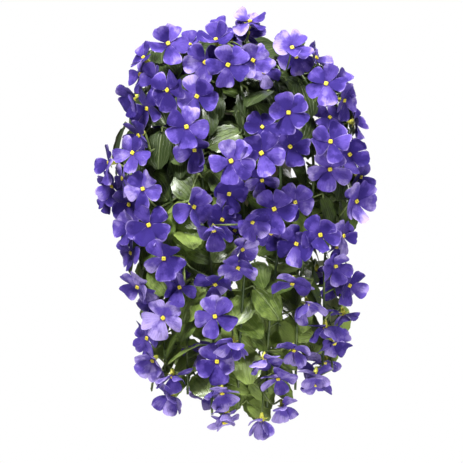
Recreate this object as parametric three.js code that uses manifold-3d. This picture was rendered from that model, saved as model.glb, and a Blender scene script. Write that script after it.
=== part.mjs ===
// A trailing violet in a half-round pot that hangs flat on a wall: a glazed pot, its soil, leafy
// stems that arch over the rim and hang down, and sprays of five-petalled blooms.
// Millimetres, +Z up. The wall is the plane y = 0 and the plant grows towards -Y. The origin is the
// middle of the pot's flat back.
import * as THREE from "three";
import { mergeVertices } from "three/addons/utils/BufferGeometryUtils.js";
import Module from "manifold-3d";

const wasm = await Module();
wasm.setup();

// ---- Driving dimensions ----

const CLEAR = 0.3; // between pieces that touch on the real thing

const POT = {
  halfWidth: 65,
  depth: 92,
  baseHalfWidth: 47,
  baseDepth: 68,
  top: 72,
  base: -75,
  wall: 5,
  lipProud: 4,
  lipHeight: 13,
  arcSteps: 12,
};
const BACK_PLATE = {
  halfWidth: 30,
  top: 108,
  foot: 58,
  thickness: POT.wall,
  shoulder: 15, // the rounding of the top starts this far down
  cornerDrop: 2,
  holeRadius: 7.5,
  holeHeight: 92,
};
const SOIL = {
  top: 57,
  crown: 60,
  crownShare: 0.72,
  crownForward: 14,
  crownBack: 12,
  holeRadius: 2.5,
  holeProud: 4, // how far a hole's cut reaches out of the soil
};

// A stem's path is given by rings: how far it stands out sideways and forwards of the pot's middle.
const PLANT_MIDDLE_Y = -50;
const STEM = { radius: 1.9, tipRadius: 1.0, sides: 4, steps: 9, rooted: 18, collar: 5, tipFront: 0.7 };
const OUTER_RINGS = [
  { side: 44, front: 34, z: 98 },
  { side: 74, front: 62, z: 117 },
  { side: 104, front: 88, z: 84 },
  { side: 110, front: 96, z: 5 },
];
const INNER_RINGS = [
  { side: 26, front: 22, z: 91 },
  { side: 52, front: 44, z: 103 },
  { side: 80, front: 64, z: 68 },
  { side: 86, front: 70, z: -5 },
];
const UPRIGHT_RINGS = [
  { side: 20, front: 18, z: 96 },
  { side: 42, front: 30, z: 120 },
];
// lean is the way out of the pot, in degrees from straight ahead; tip is the lowest point's height.
const OUTER_TRAILS = [
  { lean: -100, tip: -70, tipSide: 108 },
  { lean: -78, tip: -150, tipSide: 94 },
  { lean: -57, tip: -205, tipSide: 88 },
  { lean: -37, tip: -226, tipSide: 80 },
  { lean: -17, tip: -246, tipSide: 76 },
  { lean: 3, tip: -240, tipSide: 76 },
  { lean: 23, tip: -240, tipSide: 78 },
  { lean: 43, tip: -222, tipSide: 84 },
  { lean: 62, tip: -205, tipSide: 96 },
  { lean: 82, tip: -150, tipSide: 104 },
  { lean: 102, tip: -70, tipSide: 110 },
];
const INNER_TRAILS = [
  { lean: -67, tip: -110, tipSide: 82 },
  { lean: -27, tip: -135, tipSide: 84 },
  { lean: 33, tip: -135, tipSide: 84 },
];
const UPRIGHTS = [
  { lean: -50, tip: 136, tipSide: 60 },
  { lean: 10, tip: 142, tipSide: 60 },
  { lean: 75, tip: 130, tipSide: 60 },
];
const FEET = {
  outer: { side: 30, front: 24 },
  inner: { side: 16, front: 14 },
  upright: { side: 8, front: 8 },
};

// The bush's face, seen from the wall: a body that is deepest at its waist.
const FACE = {
  edgeDepth: 62,
  bulge: 120,
  waistZ: 20,
  topZ: 170,
  toeZ: -270,
  halfWidth: 141,
  toeNarrowing: 74,
  toeFlattening: 62,
};
const LAYER_DEPTH = 16; // each layer of blooms and leaves starts this far behind the one before it
const PUSH_STEP = 3; // a piece that would touch another one is moved back in these steps
const PUSH_MOST = 75;
const SHIFTS = [4, 8]; // or sideways by these
const SHIFT_COST = 2.5; // a sideways move counts this many times as much as one straight back
const WALL_CLEAR = 6; // foliage stays this far off the wall

const PETALS = 5;
const PETAL_REACH = [1.05, 1.0, 0.94, 0.94, 1.0]; // of the lowest petal first, then going round
// Round one petal: degrees from its middle, share of its reach, and how far it waves up or down.
const PETAL_EDGE = [
  { turn: -36, reach: 0.58, wave: 0 },
  { turn: -20, reach: 0.99, wave: 0.03 },
  { turn: 20, reach: 0.99, wave: -0.03 },
];
const BLOOM = { thickness: 0.8, cup: 0.16, droopCup: 0.24, rollStep: 37, rollSpan: 31 };
const STALK = { socketRadius: 2.2, socketLength: 8, radius: 0.9, sides: 3 };
const HUB = { radius: 1.4, inside: 0.4 }; // of the joint where stalks meet, and of a stalk's end in it
const SHOOT_END = { radius: 0.8, straight: 5, gap: 0.31 };

const LEAF = { thickness: 0.8, widthShare: 0.84, steps: 12, scallop: 0.045, arch: 0.16, fold: 0.1 };
const LEAF_STALK = { radius: 1.1, inside: 0.5, bend: 7, leans: [0, 0.7, 2, -0.7] };
const SHARPEST = -0.3; // the least cosine between a stalk's two ways at a bend
const FOOT_SPACING = 8; // between two stalks on a stem
const STEM_APART = 9; // from a stalk's foot to the next stem
const FOOT_EVERY = 3; // of the points along a stem, one in so many may carry a stalk
const POT_CLEAR = { above: 12, around: 14 }; // stalks start this far off the pot
// Leaves set by rule along the stems, after those that the front shows.
const LEAF_RULE = {
  lengths: [36, 31],
  every: 11,
  turn: 137.5,
  stalk: 14,
  lift: 3,
  outwards: 0.5,
  droop: 0.7,
  within: 0.9, // of the bush's half width, so that they don't stand out at its sides
  tries: [0, 45, -45, 90, -90, 135, -135, 180],
};

// Blooms, spray by spray: where the eye stands in the front view (x, z), which way it faces (yaw to
// the right, pitch up, in degrees), its width across, and its layer from the face of the bush.
const SPRAYS = [
  // crown
  [[13, 151, 10, 55, 36, 1], [11, 140, 30, 20, 34, 1], [-2, 136, -40, 30, 32, 2],
    [-10, 146, -10, 65, 34, 2], [-21, 130, -15, 45, 40, 0]],
  [[-48, 127, 0, 65, 34, 2], [-69, 127, -5, 15, 42, 0]],
  [[-55, 103, -20, 30, 38, 1], [-32, 108, -5, 5, 42, 0]],
  [[-9, 104, 0, 0, 44, 0], [16, 109, 0, 5, 40, 0], [27, 98, 10, 20, 34, 2]],
  [[55, 122, 5, 25, 40, 0], [54, 109, 0, -20, 38, 1]],
  [[80, 114, 55, 25, 38, 1], [104, 88, 55, 20, 36, 1]],
  [[89, 86, -10, 15, 42, 0], [107, 70, 60, -10, 38, 0]],
  // left side
  [[-94, 114, -50, 30, 34, 1], [-98, 98, -60, 10, 38, 1], [-90, 91, -45, 5, 36, 1]],
  [[-69, 79, -35, 0, 42, 0], [-77, 60, -20, 0, 34, 2]],
  [[-105, 72, -55, -20, 40, 0], [-90, 62, -50, -10, 42, 0]],
  [[-40, 73, 0, 0, 44, 0], [-50, 42, 0, -5, 42, 0]],
  [[-98, 43, -50, -25, 38, 1], [-104, 17, -25, 5, 38, 0]],
  [[-129, 8, -78, 0, 40, 0], [-115, -8, -70, 0, 34, 1]],
  [[-127, -15, -50, -20, 40, 1], [-109, -30, -30, -20, 38, 1], [-131, -28, -60, 0, 30, 2]],
  [[-94, -19, 0, 10, 36, 0], [-88, -55, -12, 0, 44, 0]],
  [[-109, -57, -60, 0, 38, 1], [-107, -83, -60, -10, 38, 1]],
  [[-73, -88, 0, -25, 42, 0], [-59, -98, 0, -20, 32, 2], [-57, -117, -35, -10, 38, 0],
    [-30, -114, 20, -40, 40, 1]],
  [[-100, -117, -30, -40, 42, 0], [-84, -132, -20, -20, 30, 2]],
  // middle
  [[-42, 20, -20, -30, 42, 1], [-43, -37, 40, -10, 42, 0]],
  [[-6, 8, 0, 0, 46, 0], [-8, -24, 0, -10, 38, 1]],
  [[24, 16, 0, 0, 46, 0], [25, 42, 0, 20, 36, 1], [25, -10, 0, -30, 34, 2]],
  [[51, 56, -5, 10, 42, 0], [53, 23, 0, 0, 42, 1]],
  [[-31, -60, 0, -35, 40, 0], [-15, -50, 20, 10, 38, 1], [-2, -60, 0, -20, 34, 1]],
  [[15, -52, 20, -30, 38, 0], [34, -63, 0, -30, 34, 1]],
  [[37, -39, 0, 0, 46, 0], [58, -32, 15, -15, 38, 1]],
  [[8, -82, 30, -25, 36, 1], [1, -97, 0, -35, 40, 0]],
  // right side
  [[93, 53, 20, 20, 34, 1], [93, 28, 0, 0, 40, 0], [119, 50, 75, 10, 38, 1]],
  [[113, 16, 25, 0, 44, 1], [93, 1, 0, -25, 42, 0], [125, -6, 50, -20, 36, 1]],
  [[120, -31, 35, -10, 44, 0], [107, -66, 60, 0, 34, 1]],
  [[83, -65, 10, 0, 42, 0], [65, -68, 0, -10, 42, 1], [101, -77, 30, -20, 26, 2]],
  [[99, -96, 15, -20, 36, 0], [98, -116, 0, -40, 36, 1], [114, -116, 40, -20, 40, 0]],
  [[85, -105, 0, -60, 36, 1], [55, -113, -10, -62, 44, 0], [70, -134, 10, -50, 44, 0]],
  [[103, -140, 30, -65, 34, 1], [89, -154, 0, -62, 42, 0], [91, -175, 30, -35, 38, 0]],
  // lower stems
  [[-74, -148, -10, -10, 42, 0], [-91, -170, -50, -10, 40, 1]],
  [[-85, -192, -40, -35, 40, 0], [-65, -199, 0, -70, 40, 0], [-67, -224, -30, -48, 42, 0]],
  [[-22, -146, 0, 0, 42, 0], [-4, -165, 0, -55, 42, 0], [27, -128, 0, -20, 28, 2]],
  [[-20, -192, 0, 0, 42, 0], [-37, -180, 0, -40, 40, 1], [-15, -215, 0, -60, 38, 0]],
  [[-35, -225, -20, -60, 36, 0], [-16, -244, 0, -65, 32, 0], [-13, -255, 0, -55, 34, 1]],
  [[27, -181, 0, -60, 38, 0], [57, -180, 0, -55, 38, 0], [68, -193, 0, -50, 40, 1]],
  [[44, -206, 0, -60, 38, 0], [46, -238, 20, -60, 34, 0], [25, -243, 0, -60, 38, 0]],
  [[91, -196, 0, -60, 34, 1], [76, -206, 0, -65, 36, 0], [81, -218, 0, -65, 36, 0]],
];

// Leaves that the front shows: the blade's middle (x, z), the way its tip points in the front view
// (degrees, 0 to the right, 90 up), which way its face looks (yaw, pitch), its length and its layer.
const FRONT_LEAVES = [
  [3, 83, -20, 0, 40, 38, 1],
  [13, 59, 0, 0, 50, 36, 2],
  [-12, 30, -150, 0, 30, 36, 1],
  [-27, -6, -60, 0, 35, 32, 2],
  [-85, 102, 90, -50, 10, 34, 2],
  [-62, 86, 180, -10, 50, 32, 2],
  [-77, 25, -110, -20, 10, 38, 2],
  [-66, 2, -80, -15, 20, 36, 2],
  [63, -16, 170, 0, 55, 40, 1],
  [48, -89, -15, 0, 12, 38, 1],
  [71, 30, -90, 10, 20, 34, 2],
  [93, -33, -60, 10, -5, 38, 2],
  [101, -51, -10, 30, 30, 32, 1],
  [71, -50, -150, 0, 20, 34, 2],
  [-30, -97, -140, -20, 10, 40, 1],
  [-70, -22, -100, -20, -5, 38, 2],
  [-64, -58, -80, -20, 5, 38, 2],
  [-94, -37, -120, -40, 20, 32, 2],
  [30, -150, -110, 0, 10, 38, 1],
  [3, -137, -60, 0, 0, 36, 2],
  [12, -116, -85, 10, 15, 34, 2],
  [27, -208, -80, 0, -5, 40, 1],
  [21, -231, -100, 0, 12, 40, 1],
  [-8, -230, -110, 0, 8, 40, 1],
  [5, -201, -90, 35, 0, 30, 1],
  [44, -168, -60, 0, 10, 36, 1],
  [-3, -184, -90, 0, 5, 36, 2],
  [-71, -181, -20, 0, 40, 38, 1],
  [-52, -145, -80, 0, 20, 38, 1],
  [-79, -122, -70, -15, 15, 36, 2],
  [92, -187, -90, 15, 20, 34, 2],
  [76, -176, -80, 0, 10, 34, 2],
  [60, -158, -20, 0, 15, 36, 2],
  [-50, -190, -90, 0, 0, 38, 2],
  [104, -152, -70, 40, 10, 34, 2],
];

// ---- Solids ----

function toSolid(geometry) {
  const bare = geometry.clone();
  bare.deleteAttribute("normal");
  bare.deleteAttribute("uv");
  const merged = mergeVertices(bare, 1e-4);
  return new wasm.Manifold(
    new wasm.Mesh({
      numProp: 3,
      vertProperties: merged.attributes.position.array,
      triVerts: new Uint32Array(merged.index.array),
    }),
  );
}

function toGeometry(solid) {
  const mesh = solid.getMesh();
  const geometry = new THREE.BufferGeometry();
  geometry.setAttribute("position", new THREE.BufferAttribute(mesh.vertProperties, 3));
  geometry.setIndex(new THREE.BufferAttribute(mesh.triVerts, 1));
  geometry.computeVertexNormals();
  return geometry;
}

const fuse = (solids) => solids.reduce((whole, solid) => whole.add(solid));

function geometryOf(points, triangles) {
  const geometry = new THREE.BufferGeometry().setFromPoints(points);
  geometry.setIndex(triangles.flat());
  return geometry;
}

// The sides of a skin through a row of rings with equal counts of points, and its last flat cap.
// The rings turn counterclockwise about the way they follow one another.
function skin(rings, start = 0) {
  const count = rings[0].length;
  const last = start + (rings.length - 1) * count;
  const triangles = [];
  for (let k = 0; k < count; k++) {
    const next = (k + 1) % count;
    for (let ring = start; ring < last; ring += count) {
      triangles.push([ring + k, ring + next, ring + count + next]);
      triangles.push([ring + k, ring + count + next, ring + count + k]);
    }
    if (k > 0 && next > 0) triangles.push([last, last + k, last + next]);
  }
  return triangles;
}

// A closed body through a row of rings.
function loft(rings) {
  const cap = rings[0].slice(2).map((_, k) => [0, k + 2, k + 1]);
  return geometryOf(rings.flat(), [...cap, ...skin(rings)]);
}

// The rings of a tapering tube along a row of points; the first point of each lies towards `across`.
function tubeRings(points, radii, sides, across) {
  let side = across.clone();
  return points.map((point, i) => {
    const before = points[Math.max(i - 1, 0)];
    const after = points[Math.min(i + 1, points.length - 1)];
    const along = new THREE.Vector3().subVectors(after, before).normalize();
    side = side.clone().addScaledVector(along, -side.dot(along)).normalize();
    const other = new THREE.Vector3().crossVectors(along, side);
    return Array.from({ length: sides }, (_, k) => {
      const turn = (2 * Math.PI * k) / sides;
      return point
        .clone()
        .addScaledVector(side, radii[i] * Math.cos(turn))
        .addScaledVector(other, radii[i] * Math.sin(turn));
    });
  });
}

const tube = (points, radii, sides) =>
  loft(tubeRings(points, radii, sides, new THREE.Vector3(0.31, 0.83, 0.46)));

// A flat-backed bloom with its stalk in one skin: the front is a fan from the eye to the rim, and the
// back narrows from the rim to the socket, which runs on down the stalk.
function bloomOnStalk(rim, frame, line, radii) {
  const count = rim.length;
  const place = (point, lift) => point.clone().setZ(point.z + lift).applyMatrix4(frame);
  const half = BLOOM.thickness / 2;
  const back = new THREE.Vector3(0, 0, -half).applyMatrix4(frame);
  const right = new THREE.Vector3().setFromMatrixColumn(frame, 0);
  const rings = tubeRings([back, ...line], [STALK.socketRadius, ...radii], STALK.sides, right);
  const points = [
    new THREE.Vector3(0, 0, half).applyMatrix4(frame),
    ...rim.map((point) => place(point, half)),
    ...rim.map((point) => place(point, -half)),
    ...rings.flat(),
  ];
  const socket = 1 + 2 * count;
  const nearest = (k) => {
    const edge = rim[k].clone().add(rim[(k + 1) % count]);
    const share = (-Math.atan2(edge.y, edge.x) / (2 * Math.PI)) * STALK.sides;
    return socket + ((Math.round(share) + STALK.sides) % STALK.sides);
  };
  const triangles = skin(rings, socket);
  for (let k = 0; k < count; k++) {
    const next = (k + 1) % count;
    const [top, topNext, low, lowNext] = [1 + k, 1 + next, 1 + count + k, 1 + count + next];
    triangles.push([0, top, topNext], [top, low, lowNext], [top, lowNext, topNext]);
    triangles.push([low, nearest(k), lowNext]);
    if (nearest(k) !== nearest(next)) triangles.push([lowNext, nearest(k), nearest(next)]);
  }
  return geometryOf(points, triangles);
}

// A leaf with its stalk in one skin: both faces are fans from the blade's middle to its rim, and the
// edge between the rim's ends at the base runs on down the stalk.
function leafOnStalk({ middle, rim, frame }, line) {
  const half = LEAF.thickness / 2;
  const place = (point, lift) => point.clone().setZ(point.z + lift).applyMatrix4(frame);
  const faces = [middle, ...rim].flatMap((point) => [place(point, half), place(point, -half)]);
  const [top, low] = [2, 3]; // of the rim's first point
  const [topEnd, lowEnd] = [2 * rim.length, 2 * rim.length + 1];
  const base = [top, topEnd, lowEnd, low].map((index) => faces[index]);
  const corner = new THREE.Vector3().subVectors(base[0], base[2]);
  const start = base[0].clone().add(base[2]).multiplyScalar(0.5);
  const radii = [start, ...line].map((_, i) => (i < line.length ? LEAF_STALK.radius : LEAF_STALK.inside));
  const rings = tubeRings([start, ...line], radii, 4, corner);
  rings[0] = base;
  const triangles = skin(rings, faces.length);
  rim.forEach((_, k) => {
    const here = 2 + 2 * k;
    const next = 2 + 2 * ((k + 1) % rim.length);
    triangles.push([0, here, next], [1, next + 1, here + 1]);
    if (next > here) triangles.push([here, here + 1, next + 1], [here, next + 1, next]);
  });
  return geometryOf([...faces, ...rings.flat()], triangles);
}

// ---- Directions ----

const radians = THREE.MathUtils.degToRad;

// The way that a face looks: yaw turns it to the right of straight ahead, and pitch lifts it.
function looking(yaw, pitch) {
  const [a, b] = [radians(yaw), radians(pitch)];
  return new THREE.Vector3(Math.sin(a) * Math.cos(b), -Math.cos(a) * Math.cos(b), Math.sin(b));
}

// A frame whose +Z is the face's normal and whose +Y is the given way as near as the face allows.
function frameAt(origin, normal, way) {
  const up = way.clone().addScaledVector(normal, -way.dot(normal)).normalize();
  const right = new THREE.Vector3().crossVectors(up, normal);
  return new THREE.Matrix4().makeBasis(right, up, normal).setPosition(origin);
}

// ---- The bush's face ----

// How far up from the waist a height is, as a share of the way to the top, or down to the toe.
function shareFromWaist(z) {
  const end = z > FACE.waistZ ? FACE.topZ : FACE.toeZ;
  return Math.min((z - FACE.waistZ) / (end - FACE.waistZ), 1);
}

const halfWidthAt = (z) =>
  z > FACE.waistZ
    ? FACE.halfWidth * (1 - shareFromWaist(z) ** 2.6) ** (1 / 2.6)
    : FACE.halfWidth - FACE.toeNarrowing * shareFromWaist(z) ** 1.6;

function faceDepth(x, z) {
  const share = shareFromWaist(z);
  const bulge =
    z > FACE.waistZ
      ? FACE.bulge * Math.sqrt(1 - share ** 2)
      : FACE.bulge - FACE.toeFlattening * share ** 1.5;
  const across = Math.min(Math.abs(x) / Math.max(halfWidthAt(z), 1), 1);
  return -(FACE.edgeDepth + bulge * (1 - across ** 2.2) ** (1 / 2.2));
}

// ---- Room: a coarse grid of cells, in which each piece that stands takes up its place ----

const CELLS = {
  size: 2,
  low: new THREE.Vector3(-176, -216, -300),
  counts: [176, 108, 250],
};
const taken = new Uint8Array(CELLS.counts[0] * CELLS.counts[1] * CELLS.counts[2]);
const cellOf = (value, low) => Math.floor((value - low) / CELLS.size);
const cellIndex = (i, j, k) => (i * CELLS.counts[1] + j) * CELLS.counts[2] + k;

// Who stands in a cell is a number: each stem, spray and leaf has one of its own.
const OWNER = { none: 0, pot: 1, wall: 2, firstStem: 3, firstSpray: 40, firstLeaf: 100 };

// Takes up the cell of each point and the cells next to it.
function occupy(points, owner) {
  for (const { x, y, z } of points) {
    const [i, j, k] = [cellOf(x, CELLS.low.x), cellOf(y, CELLS.low.y), cellOf(z, CELLS.low.z)];
    for (const di of [-1, 0, 1]) {
      for (const dj of [-1, 0, 1]) {
        for (const dk of [-1, 0, 1]) taken[cellIndex(i + di, j + dj, k + dk)] = owner;
      }
    }
  }
}

const ownerAt = ({ x, y, z }) =>
  y > -WALL_CLEAR
    ? OWNER.wall
    : taken[cellIndex(cellOf(x, CELLS.low.x), cellOf(y, CELLS.low.y), cellOf(z, CELLS.low.z))];

const isClear = (points) => points.every((point) => ownerAt(point) === OWNER.none);

const SAMPLE_RINGS = [0.16, 0.3, 0.44, 0.58, 0.72, 0.86, 1];
const SAMPLE_BETWEEN = [0, 1 / 3, 2 / 3];

// Points spread over both fans of a blade, close enough that nothing slips between them.
function fanSamples(middle, rim) {
  const samples = [middle.clone()];
  rim.forEach((point, k) => {
    for (const between of SAMPLE_BETWEEN) {
      const edge = point.clone().lerp(rim[(k + 1) % rim.length], between);
      for (const share of SAMPLE_RINGS) samples.push(middle.clone().lerp(edge, share));
    }
  });
  return samples;
}

const SAMPLE_EVERY = 2;

function lineSamples(points) {
  const samples = [];
  for (let i = 1; i < points.length; i++) {
    const count = Math.ceil(points[i].distanceTo(points[i - 1]) / SAMPLE_EVERY);
    for (let k = 0; k < count; k++) samples.push(points[i - 1].clone().lerp(points[i], k / count));
  }
  samples.push(points.at(-1).clone());
  return samples;
}

// Small moves of a piece that has no room where it belongs, the least first: straight back, with a
// little up, down or sideways.
const MOVES = [];
for (let push = 0; push <= PUSH_MOST; push += PUSH_STEP) {
  MOVES.push({ move: new THREE.Vector3(0, push, 0), cost: push });
  for (const shift of SHIFTS) {
    for (let k = 0; k < 8; k++) {
      const turn = (Math.PI * k) / 4;
      const move = new THREE.Vector3(shift * Math.cos(turn), push, shift * Math.sin(turn));
      MOVES.push({ move, cost: push + SHIFT_COST * shift });
    }
  }
}
MOVES.sort((a, b) => a.cost - b.cost);

// Moves a piece the least that gives it room, and takes up that room.
function settle(localSamples, frame, owner) {
  const start = new THREE.Vector3().setFromMatrixPosition(frame);
  const samples = localSamples.map((point) => point.clone().applyMatrix4(frame));
  for (const { move } of MOVES) {
    const moved = samples.map((point) => point.clone().add(move));
    if (isClear(moved)) {
      occupy(moved, owner);
      frame.setPosition(start.add(move));
      return true;
    }
  }
  return false;
}

// ---- Pot and soil ----

// The D of a half-round pot in plan, counterclockwise from the left end of its flat back.
function potOutline(halfWidth, depth, back, z) {
  const points = [new THREE.Vector3(-halfWidth, -back, z)];
  for (let k = 0; k <= POT.arcSteps; k++) {
    const turn = Math.PI * (1 + k / POT.arcSteps);
    points.push(
      new THREE.Vector3(halfWidth * Math.cos(turn), halfWidth - depth + halfWidth * Math.sin(turn), z),
    );
  }
  points.push(new THREE.Vector3(halfWidth, -back, z));
  return points;
}

// The pot's half width and depth at a height, without the lip.
function potSize(z) {
  const share = (z - POT.base) / (POT.top - POT.base);
  return [
    POT.baseHalfWidth + share * (POT.halfWidth - POT.baseHalfWidth),
    POT.baseDepth + share * (POT.depth - POT.baseDepth),
  ];
}

function potRing(z, inset, back) {
  const [half, depth] = potSize(z);
  return potOutline(half - inset, depth - inset, back, z);
}

function potSolid() {
  const lipFoot = POT.top - POT.lipHeight;
  const body = loft([
    potRing(POT.base, 0, 0),
    potRing(lipFoot - POT.lipProud, 0, 0),
    potRing(lipFoot, -POT.lipProud, 0),
    potRing(POT.top, -POT.lipProud, 0),
    potRing(POT.top, POT.wall, POT.wall),
    potRing(POT.base + POT.wall, POT.wall, POT.wall),
  ]);
  const plate = BACK_PLATE;
  const shape = new THREE.Shape();
  shape.moveTo(-plate.halfWidth, plate.foot);
  shape.lineTo(plate.halfWidth, plate.foot);
  const [shoulder, corner] = [plate.top - plate.shoulder, plate.top - plate.cornerDrop];
  shape.lineTo(plate.halfWidth, shoulder);
  shape.bezierCurveTo(plate.halfWidth, corner, plate.halfWidth / 2, plate.top, 0, plate.top);
  shape.bezierCurveTo(
    -plate.halfWidth / 2, plate.top, -plate.halfWidth, corner, -plate.halfWidth, shoulder,
  );
  const hole = new THREE.Path();
  hole.absarc(0, plate.holeHeight, plate.holeRadius, 0, 2 * Math.PI, true);
  shape.holes.push(hole);
  const raised = new THREE.ExtrudeGeometry(shape, {
    depth: plate.thickness,
    bevelEnabled: false,
    curveSegments: 6,
  }).rotateX(Math.PI / 2);
  return fuse([toSolid(body), toSolid(raised)]);
}

function soilSolid(stems) {
  const inset = POT.wall + CLEAR;
  const size = potSize(SOIL.top);
  const crown = potOutline(
    SOIL.crownShare * (size[0] - inset),
    SOIL.crownShare * (size[1] - inset) + SOIL.crownForward,
    inset + SOIL.crownBack,
    SOIL.crown,
  );
  const body = toSolid(
    loft([
      potRing(POT.base + POT.wall + CLEAR, inset, inset),
      potRing(SOIL.top, inset, inset),
      crown,
    ]),
  );
  const holes = stems.map((stem) => {
    const foot = stem.points[0].clone();
    foot.z -= CLEAR;
    const mouth = foot.clone().setZ(SOIL.crown + SOIL.holeProud);
    return toSolid(tube([foot, mouth], [SOIL.holeRadius, SOIL.holeRadius], 4));
  });
  return holes.reduce((whole, hole) => whole.subtract(hole), body);
}

// ---- Stems ----

const outwards = (lean, side, front, z) =>
  new THREE.Vector3(
    side * Math.sin(radians(lean)),
    PLANT_MIDDLE_Y - front * Math.cos(radians(lean)),
    z,
  );

// A stem's centre line: straight up out of the soil, then a smooth curve through its rings.
function stemPoints(trail, foot, rings) {
  const collar = outwards(trail.lean, foot.side, foot.front, SOIL.crown + STEM.collar);
  const last = rings.at(-1);
  const tip = outwards(trail.lean, trail.tipSide, last.front * STEM.tipFront, trail.tip);
  const through = rings.map((ring) => outwards(trail.lean, ring.side, ring.front, ring.z));
  const curve = new THREE.CatmullRomCurve3([collar, ...through, tip], false, "catmullrom", 0.5);
  const root = collar.clone().setZ(SOIL.crown - STEM.rooted);
  return [root, ...curve.getPoints(STEM.steps)];
}

// A stem takes up the room round its middle line too.
const STEM_SIDES = [[0, 0, 0], [1, 0, 0], [-1, 0, 0], [0, 1, 0], [0, -1, 0], [0, 0, 1], [0, 0, -1]].map(
  (way) => new THREE.Vector3(...way),
);

function makeStems() {
  const kinds = [
    [OUTER_TRAILS, FEET.outer, OUTER_RINGS],
    [INNER_TRAILS, FEET.inner, INNER_RINGS],
    [UPRIGHTS, FEET.upright, UPRIGHT_RINGS],
  ];
  return kinds
    .flatMap(([trails, foot, rings]) => trails.map((trail) => stemPoints(trail, foot, rings)))
    .map((points, index) => {
      const radii = points.map((_, i) =>
        THREE.MathUtils.lerp(STEM.radius, STEM.tipRadius, i / (points.length - 1)),
      );
      const samples = lineSamples(points);
      const owner = OWNER.firstStem + index;
      for (const aside of STEM_SIDES) occupy(samples.map((point) => point.clone().add(aside)), owner);
      return { index, owner, points, radii, samples, solids: [toSolid(tube(points, radii, STEM.sides))] };
    });
}

// ---- Blooms ----

function bloomRim(across, pitch) {
  const reach = across / 2;
  const cup = BLOOM.cup + BLOOM.droopCup * Math.max(0, -Math.sin(radians(pitch)));
  const rim = [];
  for (let petal = 0; petal < PETALS; petal++) {
    for (const edge of PETAL_EDGE) {
      const turn = radians(-90 + (360 / PETALS) * petal + edge.turn);
      const share = PETAL_REACH[petal] * edge.reach;
      rim.push(
        new THREE.Vector3(
          reach * share * Math.cos(turn),
          reach * share * Math.sin(turn),
          reach * (cup * share ** 2 + edge.wave),
        ),
      );
    }
  }
  return rim;
}

function makeBlooms() {
  const blooms = SPRAYS.flatMap((spray, owner) =>
    spray.map(([x, z, yaw, pitch, across, layer]) => ({ x, z, yaw, pitch, across, layer, owner })),
  );
  blooms.forEach((bloom, i) => {
    const normal = looking(bloom.yaw, bloom.pitch);
    const y = faceDepth(bloom.x, bloom.z) + LAYER_DEPTH * bloom.layer;
    const roll = radians(((i * BLOOM.rollStep) % BLOOM.rollSpan) - BLOOM.rollSpan / 2);
    const up = new THREE.Vector3(Math.sin(roll), 0, Math.cos(roll));
    bloom.frame = frameAt(new THREE.Vector3(bloom.x, y, bloom.z), normal, up);
    bloom.normal = normal;
    bloom.rim = bloomRim(bloom.across, bloom.pitch);
  });
  return blooms;
}

// ---- Leaves ----

// A leaf's blade lies along +Y from its base at the origin, with a scalloped edge, an arched
// midrib and a lengthwise fold.
function leafShape(length) {
  const half = (length * LEAF.widthShare) / 2;
  const rim = Array.from({ length: LEAF.steps }, (_, k) => {
    const turn = (2 * Math.PI * (k + 0.5)) / LEAF.steps;
    const scallop = 1 + LEAF.scallop * (k % 2 ? 1 : -1);
    const x = half * scallop * Math.sin(turn);
    const along = 0.5 - 0.5 * scallop * Math.cos(turn);
    const arch = -LEAF.arch * length * (along - 0.35) ** 2;
    return new THREE.Vector3(x, length * along, arch + LEAF.fold * Math.abs(x));
  });
  return { middle: new THREE.Vector3(0, 0.5 * length, 0), rim };
}

function makeFrontLeaves() {
  return FRONT_LEAVES.map(([x, z, aim, yaw, pitch, length, layer]) => {
    const normal = looking(yaw, pitch);
    const way = new THREE.Vector3(Math.cos(radians(aim)), 0, Math.sin(radians(aim)));
    const centre = new THREE.Vector3(x, faceDepth(x, z) + LAYER_DEPTH * (layer + 0.5), z);
    const frame = frameAt(centre, normal, way);
    const tipWay = new THREE.Vector3().setFromMatrixColumn(frame, 1);
    frame.setPosition(centre.addScaledVector(tipWay, -length / 2));
    return { ...leafShape(length), frame, tipWay };
  });
}

// ---- Stalks ----

const isOutside = (point) =>
  point.z > POT.top + POT_CLEAR.above ||
  point.y < -POT.depth - POT_CLEAR.around ||
  Math.abs(point.x) > POT.halfWidth + POT_CLEAR.around;

// Places on the stems where a stalk may start, clear of the pot and of the other stems.
function footholds(stems) {
  const isApart = ({ stem, point }) =>
    stems.every(
      ({ index, samples }) =>
        index === stem || samples.every((sample) => sample.distanceTo(point) > STEM_APART),
    );
  return stems
    .flatMap(({ index, owner, samples }) =>
      samples.slice(0, -1).map((point, i) => ({
        stem: index,
        owner,
        point,
        along: new THREE.Vector3().subVectors(samples[i + 1], point).normalize(),
        radius: THREE.MathUtils.lerp(STEM.radius, STEM.tipRadius, i / samples.length),
      })),
    )
    .filter((hold, i) => i % FOOT_EVERY === 0 && isOutside(hold.point) && isApart(hold));
}

// Marks the footholds round one that a stalk now uses.
function useFoothold(holds, { point }) {
  for (const hold of holds) {
    if (hold.point.distanceTo(point) < FOOT_SPACING) hold.isUsed = true;
  }
}

const isFree = (hold) => !hold.isUsed;

const nearestFirst = (holds, to) =>
  [...holds].sort((a, b) => a.point.distanceToSquared(to) - b.point.distanceToSquared(to));

const FOOT_REACH = 7;

// Whether a line keeps clear of all that stands, but for what it grows from near its ends.
const lineIsClear = (points, { ends, owners }) =>
  lineSamples(points).every((point) => {
    const owner = ownerAt(point);
    if (owner === OWNER.none) return true;
    return owners.includes(owner) && ends.some((end) => point.distanceTo(end) < FOOT_REACH);
  });

// Whether a line has no bend that is too sharp.
function isGentle(points) {
  return points.slice(2).every((point, i) => {
    const before = new THREE.Vector3().subVectors(points[i + 1], points[i]).normalize();
    const after = new THREE.Vector3().subVectors(point, points[i + 1]).normalize();
    return before.dot(after) > SHARPEST;
  });
}

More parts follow.
